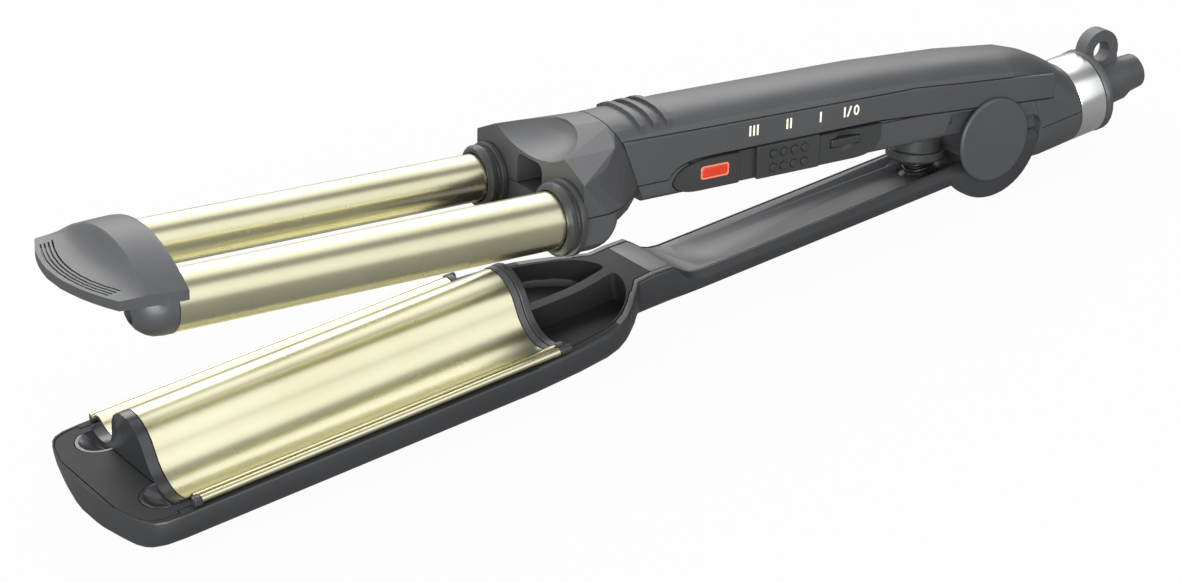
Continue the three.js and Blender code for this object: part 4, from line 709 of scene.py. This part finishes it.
@dataclass(frozen=True)
class LowerArm(Assembly):
    """The jaw with its wave plate, rods and clips, the arm behind it, and the opening spring."""

    # How the jaw's shell is dressed, in the handle's resin with painted shade
    shell: Dressing = Dressing("lower_shell", LOWER, Finish.JAW, 0.45, 3, 34, even=False)
    # How each of the arm's other CAD nodes is dressed
    dressings: tuple[Dressing, ...] = (
        Dressing("jaw_cover", LOWER, Finish.MATT, 0.35),
        Dressing("arm_inlay", LOWER, Finish.GRAPHITE, crease_deg=40),
        Dressing("wave_plate", LOWER, Finish.CHAMPAGNE, crease_deg=50),
        Dressing("plate_tip_saddle", LOWER, Finish.GLOSS, 0.3, 2, 40, even=False),
        Dressing("plate_rear_strip", LOWER, Finish.GRAPHITE, 0.15, 1, 50, even=False),
        Dressing("plate_bulkhead", LOWER, Finish.BLACK, 0.3, 2, 50),
        Dressing("edge_rod_near", LOWER, Finish.CHAMPAGNE, crease_deg=50),
        Dressing("edge_rod_far", LOWER, Finish.CHAMPAGNE, crease_deg=50),
        Dressing("rod_clip_near", LOWER, Finish.BLACK, 0.2, 2, 50),
        Dressing("rod_clip_far", LOWER, Finish.BLACK, 0.2, 2, 50),
        Dressing("hinge_cap_near", LOWER, Finish.GRAPHITE, 0.45, 3, 24),
        Dressing("hinge_cap_far", LOWER, Finish.GRAPHITE, 0.45, 3, 24),
        Dressing("spring_seat_lower", LOWER, Finish.BLACK, 0.2),
    )
    # How the opening spring is dressed, in painted shade
    spring: Dressing = Dressing("opening_spring", LOWER, Finish.SPRING, crease_deg=50)
    # Which faces of the rim's top get painted shade: their place along the tool, height and slope
    rim_from: float = -262.0  # Where the jaw's front rim begins along the tool
    rim_floor: float = -10.5  # Lowest place of the rim's top
    rim_rise: float = 0.6  # How far up a face of the rim's top looks at least
    spring_kept: float = 0.72  # Share of its length that the spring keeps when the arms are closed

    def build(self, bench: Bench) -> None:
        """Dress the arm's nodes."""
        bench.dress(self.shell, repaint=lambda mesh: self._shade_rim_top(mesh, bench.materials))
        for dressing in self.dressings:
            bench.dress(dressing)
        self._let_shorten(bench.dress(self.spring))

    def _shade_rim_top(self, mesh: bpy.types.Mesh, materials: MaterialLibrary) -> None:
        """Paint the up-facing top of the jaw's front rim with the cover's dark matt material, as
        painted shade over the light that it catches from the sky.

        Args:
            mesh: The jaw shell's mesh.
            materials: The material library.
        """
        tool = tool_matrix().inverted()
        mesh.materials.append(materials.get(Finish.MATT))
        for polygon in mesh.polygons:
            front = min((tool @ mesh.vertices[index].co).x for index in polygon.vertices)
            high = (tool @ polygon.center).z > self.rim_floor
            if front < self.rim_from and high and polygon.normal.z > self.rim_rise:
                polygon.material_index = 1

    def _let_shorten(self, spring: bpy.types.Object) -> None:
        """Find the opening spring's foot, below the middle of its points, and give the spring a mesh
        of its own.

        Args:
            spring: The dressed spring.
        """
        points = [vertex.co for vertex in spring.data.vertices]
        foot = sum(points, Vector()) / len(points)
        foot.z = min(point.z for point in points)
        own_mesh(spring)


@dataclass(frozen=True)
class UpperArm(Assembly):
    """The handle with its bands and panel, the barrel holder, the barrels and the tip cap."""

    # How the handle's top shell is dressed
    shell: Dressing = Dressing(
        "handle_top_shell", UPPER, Finish.GRAPHITE, 0.3, 2, 34, merge_deg=0.6
    )
    # How each of the arm's other CAD nodes is dressed
    dressings: tuple[Dressing, ...] = (
        Dressing("handle_bottom_shell", UPPER, Finish.GRAPHITE, 0.2, 2, 34, even=False),
        Dressing("side_band_near", UPPER, Finish.GRAPHITE, 0.25),
        Dressing("side_band_far", UPPER, Finish.GRAPHITE, 0.25),
        Dressing("holder_upper", UPPER, Finish.GRAPHITE, 0.7, 3, 14),
        Dressing("holder_lower", UPPER, Finish.GRAPHITE, 0.4, 2, 40),
        Dressing("barrel_near", UPPER, Finish.CHAMPAGNE, crease_deg=50),
        Dressing("barrel_far", UPPER, Finish.CHAMPAGNE, crease_deg=50),
        Dressing("collar_near", UPPER, Finish.BLACK, 0.15, 2, 50, even=False),
        Dressing("collar_far", UPPER, Finish.BLACK, 0.15, 2, 50, even=False),
        Dressing("tip_cap", UPPER, Finish.GRAPHITE, 0.4, 2, 40),
        Dressing("switch_panel", UPPER, Finish.BLACK, 0.2),
        Dressing("spring_seat_upper", UPPER, Finish.BLACK, 0.25),
    )
    rib_start: float = -132.6  # Where the first grip rib on the handle's crown starts
    rib_span: float = 11.2  # How far the three ribs reach behind that
    rib_half: float = 10.8  # Half the length of a rib
    rib_bow: float = 5.6  # How far a rib's ends lie behind its middle
    rib_floor: float = 20.0  # Lowest place that is still on the crown
    crown_rise: float = 0.025  # How the crown rises along the handle
    # How far a corner may lie past the ribs' ends and front, as a share and a length
    slack: tuple[float, float] = (0.001, 0.3)

    def build(self, bench: Bench) -> None:
        """Dress the arm's nodes."""
        bench.dress(self.shell, self._straighten_ribs)
        for dressing in self.dressings:
            bench.dress(dressing)

    def _straighten_ribs(self, form: bmesh.types.BMesh) -> None:
        """Slide the bowed grip ribs back along the crown until they run straight across it.

        Args:
            form: The top shell, in metres.
        """
        arm = upper_matrix()
        back = arm.inverted()
        for vertex in form.verts:
            place = back @ vertex.co
            share = abs(place.y) / self.rib_half
            start = self.rib_start + self.rib_bow * share * share
            beside = share > 1 + self.slack[0] or place.z < self.rib_floor
            if beside or not start - self.slack[1] < place.x < start + self.rib_span:
                continue
            slide = self.rib_bow * (1.0 - share * share)
            vertex.co = arm @ (place + Vector((slide, 0.0, slide * self.crown_rise)))


@dataclass(frozen=True)
class MovingControls(Assembly):
    """The temperature slide, the power button and the cord's swivel."""

    # How each of the CAD nodes is dressed
    dressings: tuple[Dressing, ...] = (
        Dressing("temperature_slide", SLIDE, Finish.BLACK, 0.25),
        Dressing("power_button", BUTTON, Finish.BLACK, 0.3, 3),
        Dressing("swivel_cap", SWIVEL, Finish.GRAPHITE, 0.4, 2, 40),
    )

    def build(self, bench: Bench) -> None:
        """Dress the nodes."""
        for dressing in self.dressings:
            bench.dress(dressing)


@dataclass(frozen=True)
class InnerParts(Assembly):
    """The parts that the housings hide, whose CAD form stays."""

    # The nodes of each finish
    finishes: tuple[tuple[Finish, tuple[str, ...]], ...] = (
        (Finish.HEATER, ("plate_heater", "barrel_heater_near", "barrel_heater_far")),
        (Finish.RESIN, ("plate_carrier", "contact_carrier", "indicator_lamp")),
        (Finish.STEEL, ("hinge_pin", "slide_switch", "push_switch")),
        (Finish.STEEL, ("jaw_screw_1", "jaw_screw_2", "jaw_screw_3", "jaw_screw_4")),
        (Finish.STEEL, ("handle_screw_1", "handle_screw_2")),
        (Finish.BRASS, ("hinge_bush_near", "hinge_bush_far", "slip_ring_1", "slip_ring_2")),
        (Finish.BOARD, ("control_board",)),
    )

    def build(self, bench: Bench) -> None:
        """Paint the nodes."""
        for finish, nodes in self.finishes:
            for node in nodes:
                bench.paint(frame["nodes"][node].data, finish)


@dataclass(frozen=True)
class SwitchMarkings(Assembly):
    """Printed marks on the near side band: bars for the three temperatures, and I/O."""

    height: float = 3.1  # Height of the marks
    stroke: float = 0.62  # Width of a bar
    pitch: float = 1.3  # Distance between bars
    line: float = 17.9  # Height of the marks' middle over the hinge axis
    thickness: float = 0.06  # Thickness of the ink, thicker than real ink so that it shows
    # Place of each mark along the handle, with its number of bars
    places: tuple[tuple[float, int], ...] = ((-89.4, 3), (-77.0, 2), (-65.7, 1))
    power: float = -54.4  # Place of the I/O mark
    # Places of its bar, slash and ring beside that
    shifts: tuple[float, float, float] = (-2.6, -0.9, 1.7)
    lean: float = 0.36  # How far the slash leans, as a share of its height
    # Half the ring's width, as a share of the height, and its stroke, as a share of a bar's
    ring: tuple[float, float] = (0.33, 0.9)
    ring_sides: int = 28  # Corners of the ring

    def build(self, bench: Bench) -> None:
        """Build the marks."""
        face = local_box("side_band_near", upper_matrix())[0].y
        half, stroke = self.height / 2, self.stroke / 2
        outline = [(-stroke, -half), (stroke, -half), (stroke, half), (-stroke, half)]
        for place, count in self.places:
            bar = plate(outline, (-self.thickness, self.thickness))
            bar.transform(FACING_SIDE.inverted())
            repeat = Repeat(f"mark_bars_{count}", count, 1, self.pitch)
            mesh = repeat.make(bar, bench.materials.get(Finish.PRINT))
            at = upper_matrix() @ Matrix.Translation((place, face, self.line)) @ FACING_SIDE
            bench.fit(mesh, at, Dressing(f"mark_temperature_{count}", UPPER, Finish.PRINT))
        depth = (face - self.thickness, face + self.thickness)
        slash = [(x + self.lean * z, z) for x, z in outline]
        for name, form, shift in zip(("bar", "slash"), (outline, slash), self.shifts):
            place = [(x + self.power + shift, z + self.line) for x, z in form]
            how = Dressing(f"mark_power_{name}", UPPER, Finish.PRINT)
            bench.fit(plate(place, depth), upper_matrix(), how)
        ring = plate(self._oval(0.0), depth, self._oval(self.stroke * self.ring[1]))
        bench.fit(ring, upper_matrix(), Dressing("mark_power_ring", UPPER, Finish.PRINT))

    def _oval(self, inset: float) -> Outline:
        """Draw an outline of the ring.

        Args:
            inset: How far it lies inside the ring's edge.

        Returns:
            Its corners.
        """
        middle = self.power + self.shifts[2]
        width, height = self.height * self.ring[0] - inset, self.height / 2 - inset
        turns = [math.tau * i / self.ring_sides for i in range(self.ring_sides)]
        return [(middle + width * math.cos(t), self.line + height * math.sin(t)) for t in turns]


@dataclass(frozen=True)
class PilotLens(Assembly):
    """The indicator's lens: a rounded window in a rim painted paler, as a painted highlight."""

    rim: float = 0.55  # Width of the rim
    corner: float = 0.9  # Radius of the corners
    inner_corner: float = 0.6  # How much of the rim's width the window's corners lose
    proud: float = 0.28  # How far the window stands over the panel
    rim_proud: float = 0.55  # How far the rim stands over it, as a share of that
    shift: float = 0.15  # Place of the window beside the CAD lens's middle
    margin: float = 0.9  # How much narrower it is than the CAD lens
    tall: float = 0.82  # Its height, as a share of the CAD lens's
    seat: tuple[float, float] = (2.4, 2.2)  # How much wider and higher the bezel is than the rim
    seat_proud: float = 0.06  # How far the bezel stands over the panel
    edges: tuple[float, float, float] = (0.05, 0.12, 0.3)  # Rounding of bezel, rim and window

    def build(self, bench: Bench) -> None:
        """Build the window and its rim in place of the CAD lens."""
        low, high = local_box("indicator_lens", upper_matrix())
        face = local_box("switch_panel", upper_matrix())[0].y
        middle = (low + high) / 2
        middle.x += self.shift
        wide, tall = high.x - low.x - self.margin, (high.z - low.z) * self.tall
        seat = rounded_outline(middle, (wide + self.seat[0], tall + self.seat[1]), self.corner)
        outer = rounded_outline(middle, (wide, tall), self.corner)
        inside = (wide - 2 * self.rim, tall - 2 * self.rim)
        inner = rounded_outline(middle, inside, self.corner - self.rim * self.inner_corner)
        bezel = plate(seat, (face - self.seat_proud, high.y), outer)
        rim = plate(outer, (face - self.proud * self.rim_proud, high.y), inner)
        window = plate(inner, (face - self.proud, high.y))
        for name, mesh, finish, edge in (
            ("lens_bezel", bezel, Finish.BLACK, self.edges[0]),
            ("lens_rim", rim, Finish.LENS_RIM, self.edges[1]),
            ("lens_window", window, Finish.LENS, self.edges[2]),
        ):
            obj = bench.fit(mesh, upper_matrix(), Dressing(name, UPPER, finish, edge))
        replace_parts(obj, "indicator_lens")


@dataclass(frozen=True)
class PanelJoints(Assembly):
    """Fine shadow lines where the switch panel is split beside the slide."""

    width: float = 0.16  # Width of a line
    places: tuple[float, ...] = (-95.2, -65.6)  # Places of the lines along the handle
    # How far a line stays clear of the panel's lower and upper edge
    insets: tuple[float, float] = (0.3, 0.2)
    # Where a line starts and ends, from the panel's face inwards
    depth: tuple[float, float] = (-0.03, 0.2)

    def build(self, bench: Bench) -> None:
        """Build the lines."""
        low, high = local_box("switch_panel", upper_matrix())
        bottom, top = low.z + self.insets[0], high.z - self.insets[1]
        depth = (low.y + self.depth[0], low.y + self.depth[1])
        for count, place in enumerate(self.places, 1):
            left, right = place - self.width / 2, place + self.width / 2
            outline = [(left, bottom), (right, bottom), (right, top), (left, top)]
            how = Dressing(f"panel_joint_{count}", UPPER, Finish.GLOSS)
            bench.fit(plate(outline, depth), upper_matrix(), how)


@dataclass(frozen=True)
class HandleWeb(Assembly):
    """A lengthwise rib inside the handle, so that no light shows through its shells' joints."""

    side: tuple[float, float] = (3.6, 4.4)  # Nearer and farther face of the rib, across the handle
    span: tuple[float, float] = (-142.0, -8.0)  # Where the rib starts and ends along the handle
    step: float = 2.0  # Distance of the places at which the shells are felt
    inset: float = 1.0  # How deep the rib's edge sits in the shells
    # How many places to each side count for one, which keeps the edge off ribs and recesses
    reach: int = 3
    seat_from: float = -31.0  # Where the spring's cup begins
    seat_top: float = 3.5  # Lowest place of the rib above the cup
    away: float = 60.0  # How far off the rays start

    def _heights(self, nodes: tuple[str, ...], upward: bool) -> list[float]:
        """Feel the shells from outside at each place along the rib.

        Args:
            nodes: The CAD nodes that are felt.
            upward: Whether the ray runs up, from below.

        Returns:
            The height found at each place.
        """
        back = upper_matrix().inverted()
        points: list[Vector] = []
        faces: list[list[int]] = []
        for node in nodes:
            mesh = frame["nodes"][node].data
            start = len(points)
            points += [back @ vertex.co for vertex in mesh.vertices]
            faces += [[start + index for index in polygon.vertices] for polygon in mesh.polygons]
        tree = BVHTree.FromPolygons(points, faces)
        way = Vector((0, 0, 1 if upward else -1))
        heights = []
        for count in range(round((self.span[1] - self.span[0]) / self.step) + 1):
            place = Vector((self.span[0] + count * self.step, sum(self.side) / 2, 0))
            place -= self.away * way
            hit = tree.ray_cast(place, way)[0]
            heights.append(hit.z if hit else heights[-1])
        return heights

    def build(self, bench: Bench) -> None:
        """Build the rib."""
        tops = self._heights(("handle_top_shell", "holder_upper"), False)
        floors = self._heights(("handle_bottom_shell", "holder_lower"), True)
        upper, lower = [], []
        for count in range(len(tops)):
            place = self.span[0] + count * self.step
            near = slice(max(0, count - self.reach), count + self.reach + 1)
            floor = max(floors[near]) + self.inset
            if place > self.seat_from:
                floor = max(floor, self.seat_top)
            upper.append((place, min(tops[near]) - self.inset))
            lower.append((place, floor))
        mesh = plate(lower + upper[::-1], self.side)
        bench.fit(mesh, upper_matrix(), Dressing("handle_web", UPPER, Finish.MATT))


@dataclass(frozen=True)
class RecessFloors(Assembly):
    """Walls behind the pivot's recesses, which close the corner that each opens inwards."""

    # Nearer and farther face of a wall, from the middle of the handle
    across: tuple[float, float] = (9.5, 10.1)
    # Its corners as x, z
    outline: Outline = ((-24.0, 3.8), (-9.0, 3.8), (-9.0, 13.5), (-24.0, 13.5))

    def build(self, bench: Bench) -> None:
        """Build both walls."""
        near, far = self.across
        for side, depth in (("near", (-far, -near)), ("far", (near, far))):
            how = Dressing(f"recess_floor_{side}", UPPER, Finish.GRAPHITE)
            bench.fit(plate(self.outline, depth), upper_matrix(), how)


@dataclass(frozen=True)
class SlideGrip(Assembly):
    """Eight raised dots on the temperature slide, each in a flat dark ring of painted shade."""

    copies: tuple[int, int] = (4, 2)  # Dots along and across the slide
    pitch: tuple[float, float] = (3.7, 4.2)  # Distance between them along and across it
    radius: float = 1.15  # Radius of a dot
    height: float = 0.5  # How far a dot stands proud
    # Corners of its rounded top, as shares of the radius and the height
    dome: Outline = ((1.0, 0.55), (0.9, 0.9), (0.7, 1.0), (0.0, 1.0))
    shade_ring: float = 0.28  # Width of the dark ring of painted shade round a dot
    rim: float = 0.03  # How far the ring stands proud
    roots: tuple[float, float] = (0.2, 0.1)  # How deep a dot and a ring reach into the slide
    sides: int = 20  # Steps round a dot

    def build(self, bench: Bench) -> None:
        """Build the dots and their rings of painted shade."""
        low, high = local_box("temperature_slide", upper_matrix())
        middle = (low + high) / 2
        at = upper_matrix() @ Matrix.Translation((middle.x, low.y, middle.z)) @ FACING_SIDE
        top = [(self.radius * out, self.height * up) for out, up in self.dome]
        dot = [(0.0, -self.roots[0]), (self.radius, -self.roots[0]), *top]
        edge, root = self.radius + self.shade_ring, -self.roots[1]
        shade_ring = [(0.0, root), (edge, root), (edge, self.rim), (0.0, self.rim)]
        for name, profile, finish in (
            ("slide_dots", dot, Finish.BLACK),
            ("slide_dot_shade_rings", shade_ring, Finish.MATT),
        ):
            unit = turned_form(profile, self.sides)
            mesh = Repeat(name, *self.copies, *self.pitch).make(unit, bench.materials.get(finish))
            bench.fit(mesh, at, Dressing(name, SLIDE, finish))


@dataclass(frozen=True)
class ScrewHeads(Assembly):
    """Countersunk cross-recess heads in the pockets of the two housings."""

    slot: float = 0.32  # Half width of the cross's arms
    reach: float = 1.35  # Length of the cross's arms
    depth: float = 0.55  # Depth of the cross
    sunk: float = 0.02  # How far the head's face lies below the CAD screw's
    shoulder: float = 0.6  # Height of the rounded edge's start, as a share of the head's
    crown: float = 0.9  # Radius of the face, as a share of the head's
    sides: int = 28  # Steps round the head
    crease_deg: float = 30.0  # Edges sharper than this are creases

    def build(self, bench: Bench) -> None:
        """Replace every screw node by a head with a cross recess."""
        for node in sorted(name for name in frame["nodes"] if "_screw_" in name):
            jaw = node.startswith("jaw")
            arm = tool_matrix() if jaw else upper_matrix()
            low, high = local_box(node, arm)
            mesh = self._head((high.x - low.x) / 2, high.z - low.z)
            middle = (low + high) / 2
            at = Matrix.Translation((middle.x, middle.y, high.z)) @ Matrix.Rotation(math.pi, 4, "X")
            body = LOWER if jaw else UPPER
            how = Dressing(f"{node}_head", body, Finish.STEEL, crease_deg=self.crease_deg)
            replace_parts(bench.fit(mesh, arm @ at, how), node)

    def _head(self, radius: float, thickness: float) -> bpy.types.Mesh:
        """Make one head that faces +Z, its underside at zero.

        Args:
            radius: Its radius.
            thickness: Its thickness.

        Returns:
            The mesh.
        """
        top = thickness - self.sunk
        edge = [(radius, 0.0), (radius, top * self.shoulder), (radius * self.crown, top)]
        head = linked("head", turned_form([(0.0, 0.0), *edge, (0.0, top)], self.sides))
        arms = bmesh.new()
        size = Matrix.Diagonal((self.reach * 2, self.slot * 2, self.depth * 2, 1.0))
        for turn in (0.0, math.pi / 2):
            place = Matrix.Translation((0.0, 0.0, top)) @ Matrix.Rotation(turn, 4, "Z") @ size
            bmesh.ops.create_cube(arms, size=1.0, matrix=place)
        data = bpy.data.meshes.new("cross")
        arms.to_mesh(data)
        arms.free()
        cross = linked("cross", data)
        cut = head.modifiers.new("cross", "BOOLEAN")
        cut.operation = "DIFFERENCE"
        cut.solver = "EXACT"
        cut.use_self = True
        cut.object = cross
        baked(head)
        mesh = head.data
        bpy.data.objects.remove(head)
        bpy.data.objects.remove(cross)
        return mesh


@dataclass(frozen=True)
class RodClips(Assembly):
    """Small black clips that hold the front ends of the edge rods."""

    length: float = 2.8  # Length along the rod
    wall: float = 0.15  # Wall round the rod
    ahead: float = 0.3  # How far a clip reaches past the rod's end
    slope: float = 0.3  # How far its front leans back
    narrow: float = 0.9  # Its length at the top, as a share of the length
    far_top: float = -0.5  # How far the far clip's top lies over the rod's
    edge: float = 0.5  # Rounding of its edges

    def build(self, bench: Bench) -> None:
        """Build both clips."""
        for side, over in (("near", self.wall), ("far", self.far_top)):
            low, high = local_box(f"edge_rod_{side}", tool_matrix())
            bottom, top = low.z - self.wall, high.z + over
            middle = (low.y + high.y) / 2
            half = (high.y - low.y) / 2 + self.wall
            x = low.x - self.ahead
            foot = [(x, bottom), (x + self.length, bottom)]
            head = [(x + self.length * self.narrow, top), (x + self.slope, top)]
            mesh = plate(foot + head, (middle - half, middle + half))
            how = Dressing(f"rod_front_clip_{side}", LOWER, Finish.BLACK, self.edge)
            bench.fit(mesh, tool_matrix(), how)


@dataclass(frozen=True)
class ChromeBand(Assembly):
    """The plated ring between the handle's tail and the swivel."""

    wall: float = 1.9  # Thickness of the ring
    edge: float = 0.5  # Radius of its rolled edges
    roll: tuple[float, ...] = (0.4, 0.8, 1.2, math.pi / 2)  # Angles of the corners of a rolled edge
    sides: int = 96  # Steps round it

    def build(self, bench: Bench) -> None:
        """Turn the ring in place of the CAD band."""
        low, high = local_box("tail_band", tool_matrix())
        radius, length, edge = (high.z - low.z) / 2, high.x - low.x, self.edge
        face = radius - edge
        profile = [(radius - self.wall, 0.0), (face, 0.0)]
        profile += [(face + edge * math.sin(t), edge - edge * math.cos(t)) for t in self.roll]
        profile += [(r, length - z) for r, z in reversed(profile)]
        mesh = turned_form(profile + profile[:1], self.sides)
        middle = (low + high) / 2
        along = Matrix.Rotation(math.pi / 2, 4, "Y")
        at = tool_matrix() @ Matrix.Translation((low.x, middle.y, middle.z)) @ along
        how = Dressing("tail_band_turned", UPPER, Finish.CHROME)
        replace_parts(bench.fit(mesh, at, how), "tail_band")


class Studio:
    """Camera, floor and lights."""

    # The camera as found from the photo's edges: focal length and picture width in pixels, its
    # axes, and where it stands in the tool's millimetres
    FOCAL_PX = 3102.268
    WIDTH_PX = 1181
    RIGHT = Vector((0.82525947, -0.554905, -0.10501069))
    DOWN = Vector((-0.33191448, -0.32612088, -0.8851429))
    FORWARD = Vector((0.45692404, 0.76532713, -0.45331535))
    EYE = Vector((-537.75, -671.10, 392.57))

    # Width of the film in millimetres, and the nearest and farthest distance seen in metres
    SENSOR = 36.0
    CLIP = (0.05, 20.0)

    # Angle about the tool's length in half turns, from the front horizon over the top to the one
    # behind, and how bright the surround is there, which sets the streaks on the round metal
    SKY = (
        (0.0, 0.65), (0.05, 0.85), (0.1, 1.0), (0.26, 1.0), (0.345, 0.27),
        (0.44, 0.27), (0.56, 0.75), (0.85, 0.85), (1.0, 0.6),
    )
    SKY_LEVEL = 1.4

    # The screens stand to the tip's side; past the tail the room is dim
    ROOM = {"From Min": 0.5, "From Max": 0.95, "To Min": 1.0, "To Max": 0.12}

    # The floor's width and height in metres, its paper's colour, the level of the plain white that
    # is laid over the paper, and how much of that white the camera and a reflection see
    FLOOR_SIZE = 12.0
    FLOOR_HEIGHT = -0.00025
    PAPER = "747472"
    WHITE = (1.0, 1.0, 1.0, 1.0)
    WHITE_LEVEL = 1.07
    FLOOR_SEEN = 0.9
    FLOOR_REFLECTED = 0.12

    # The soft lamps: place, width and height in metres, watts, and the point they all face
    LAMPS = {
        "box_overhead": ((0.1, 0.45, 1.0), (1.8, 0.9), 2.5),
        "box_rear": ((0.45, 1.0, 0.75), (1.9, 0.7), 10.0),
        "fill_front": ((-0.8, -1.15, 0.3), (1.0, 0.8), 22.0),
    }
    LAMP_AIM = Vector((-0.02, 0.0, 0.03))

    def camera(self) -> None:
        """Make the camera at the photograph's viewing angle."""
        tilt = Matrix.Rotation(rest_tilt(), 3, "Y")
        axes = Matrix((tilt @ self.RIGHT, tilt @ -self.DOWN, tilt @ -self.FORWARD)).transposed()
        data = bpy.data.cameras.new("camera")
        data.sensor_fit = "HORIZONTAL"
        data.sensor_width = self.SENSOR
        data.lens = self.FOCAL_PX * self.SENSOR / self.WIDTH_PX
        data.clip_start, data.clip_end = self.CLIP
        obj = linked("camera", data)
        obj.matrix_world = Matrix.Translation(tool_matrix() @ self.EYE) @ axes.to_4x4()
        bpy.context.scene.camera = obj

    def floor(self) -> None:
        """Make the pale floor: white to the camera, with the object's soft shadow."""
        place = (0.0, 0.0, self.FLOOR_HEIGHT)
        bpy.ops.mesh.primitive_plane_add(size=self.FLOOR_SIZE, location=place)
        obj = bpy.context.active_object
        obj.name = "floor"
        material = bpy.data.materials.new("white_paper_sweep")
        material.use_nodes = True
        tree = material.node_tree
        tree.nodes.clear()
        paper = add(tree, "ShaderNodeBsdfDiffuse", {"Color": linear(self.PAPER)})
        white = {"Color": self.WHITE, "Strength": self.WHITE_LEVEL}
        glow = add(tree, "ShaderNodeEmission", white)
        path = add(tree, "ShaderNodeLightPath")
        seen = add(tree, "ShaderNodeMath", {1: self.FLOOR_SEEN}, operation="MULTIPLY")
        mirror = add(tree, "ShaderNodeMath", operation="MAXIMUM")
        mirrored = add(tree, "ShaderNodeMath", {1: self.FLOOR_REFLECTED}, operation="MULTIPLY")
        share = add(tree, "ShaderNodeMath", operation="MAXIMUM")
        mix = add(tree, "ShaderNodeMixShader")
        out = add(tree, "ShaderNodeOutputMaterial")
        wire(
            tree,
            (path, "Is Camera Ray", seen, 0),
            (path, "Is Glossy Ray", mirror, 0),
            (path, "Is Transmission Ray", mirror, 1),
            (mirror, "Value", mirrored, 0),
            (seen, "Value", share, 0),
            (mirrored, "Value", share, 1),
            (share, "Value", mix, "Fac"),
            (paper, "BSDF", mix, 1),
            (glow, "Emission", mix, 2),
            (mix, "Shader", out, "Surface"),
        )
        obj.data.materials.append(material)

    def world(self) -> None:
        """Make the surround: bright and dark screens round the tool, plain white to the camera."""
        world = bpy.data.worlds.new("studio")
        bpy.context.scene.world = world
        world.use_nodes = True
        tree = world.node_tree
        back = tree.nodes["Background"]
        place = add(tree, "ShaderNodeTexCoord")
        split = add(tree, "ShaderNodeSeparateXYZ")
        ramp = add(tree, "ShaderNodeValToRGB")
        ramp.color_ramp.interpolation = "EASE"
        stops = ramp.color_ramp.elements
        for position, _ in self.SKY[1:-1]:
            stops.new(position)
        for stop, (_, level) in zip(stops, self.SKY):
            stop.color = (level, level, level, 1.0)
        front = add(tree, "ShaderNodeMath", {1: -1.0}, operation="MULTIPLY")
        angle = add(tree, "ShaderNodeMath", operation="ARCTAN2")
        turns = add(tree, "ShaderNodeMath", {1: 1.0 / math.pi}, operation="MULTIPLY")
        white = add(tree, "ShaderNodeMix", {"B": self.WHITE}, data_type="RGBA")
        side = add(tree, "ShaderNodeMapRange", self.ROOM)
        level = add(tree, "ShaderNodeMath", {1: self.SKY_LEVEL}, operation="MULTIPLY")
        plain = add(tree, "ShaderNodeMath", operation="MAXIMUM")
        path = add(tree, "ShaderNodeLightPath")
        wire(
            tree,
            (place, "Generated", split, "Vector"),
            (split, "Y", front, 0),
            (split, "Z", angle, 0),
            (front, "Value", angle, 1),
            (angle, "Value", turns, 0),
            (turns, "Value", ramp, "Fac"),
            (ramp, "Color", white, "A"),
            (split, "X", side, "Value"),
            (side, "Result", level, 0),
            (level, "Value", plain, 0),
            (path, "Is Camera Ray", plain, 1),
            (path, "Is Camera Ray", white, "Factor"),
            (white, "Result", back, "Color"),
            (plain, "Value", back, "Strength"),
        )

    def lamps(self) -> None:
        """Set up the soft lamps."""
        for name, (place, size, power) in self.LAMPS.items():
            data = bpy.data.lights.new(name, "AREA")
            data.shape = "RECTANGLE"
            data.size, data.size_y = size
            data.energy = power
            obj = linked(name, data)
            obj.location = place
            way = self.LAMP_AIM - Vector(place)
            obj.rotation_euler = way.to_track_quat("-Z", "Y").to_euler()

    def build(self) -> None:
        """Build the whole studio."""
        self.camera()
        self.floor()
        self.world()
        self.lamps()


def main() -> None:
    """Build the studio and dress every node."""
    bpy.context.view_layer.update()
    bpy.context.scene.view_settings.view_transform = "Standard"
    Studio().build()
    bench = Bench(MaterialLibrary())
    assemblies = (
        LowerArm(),
        UpperArm(),
        MovingControls(),
        InnerParts(),
        SwitchMarkings(),
        PilotLens(),
        PanelJoints(),
        HandleWeb(),
        RecessFloors(),
        SlideGrip(),
        ScrewHeads(),
        RodClips(),
        ChromeBand(),
    )
    for assembly in assemblies:
        assembly.build(bench)


if __name__ == "__main__":
    main()
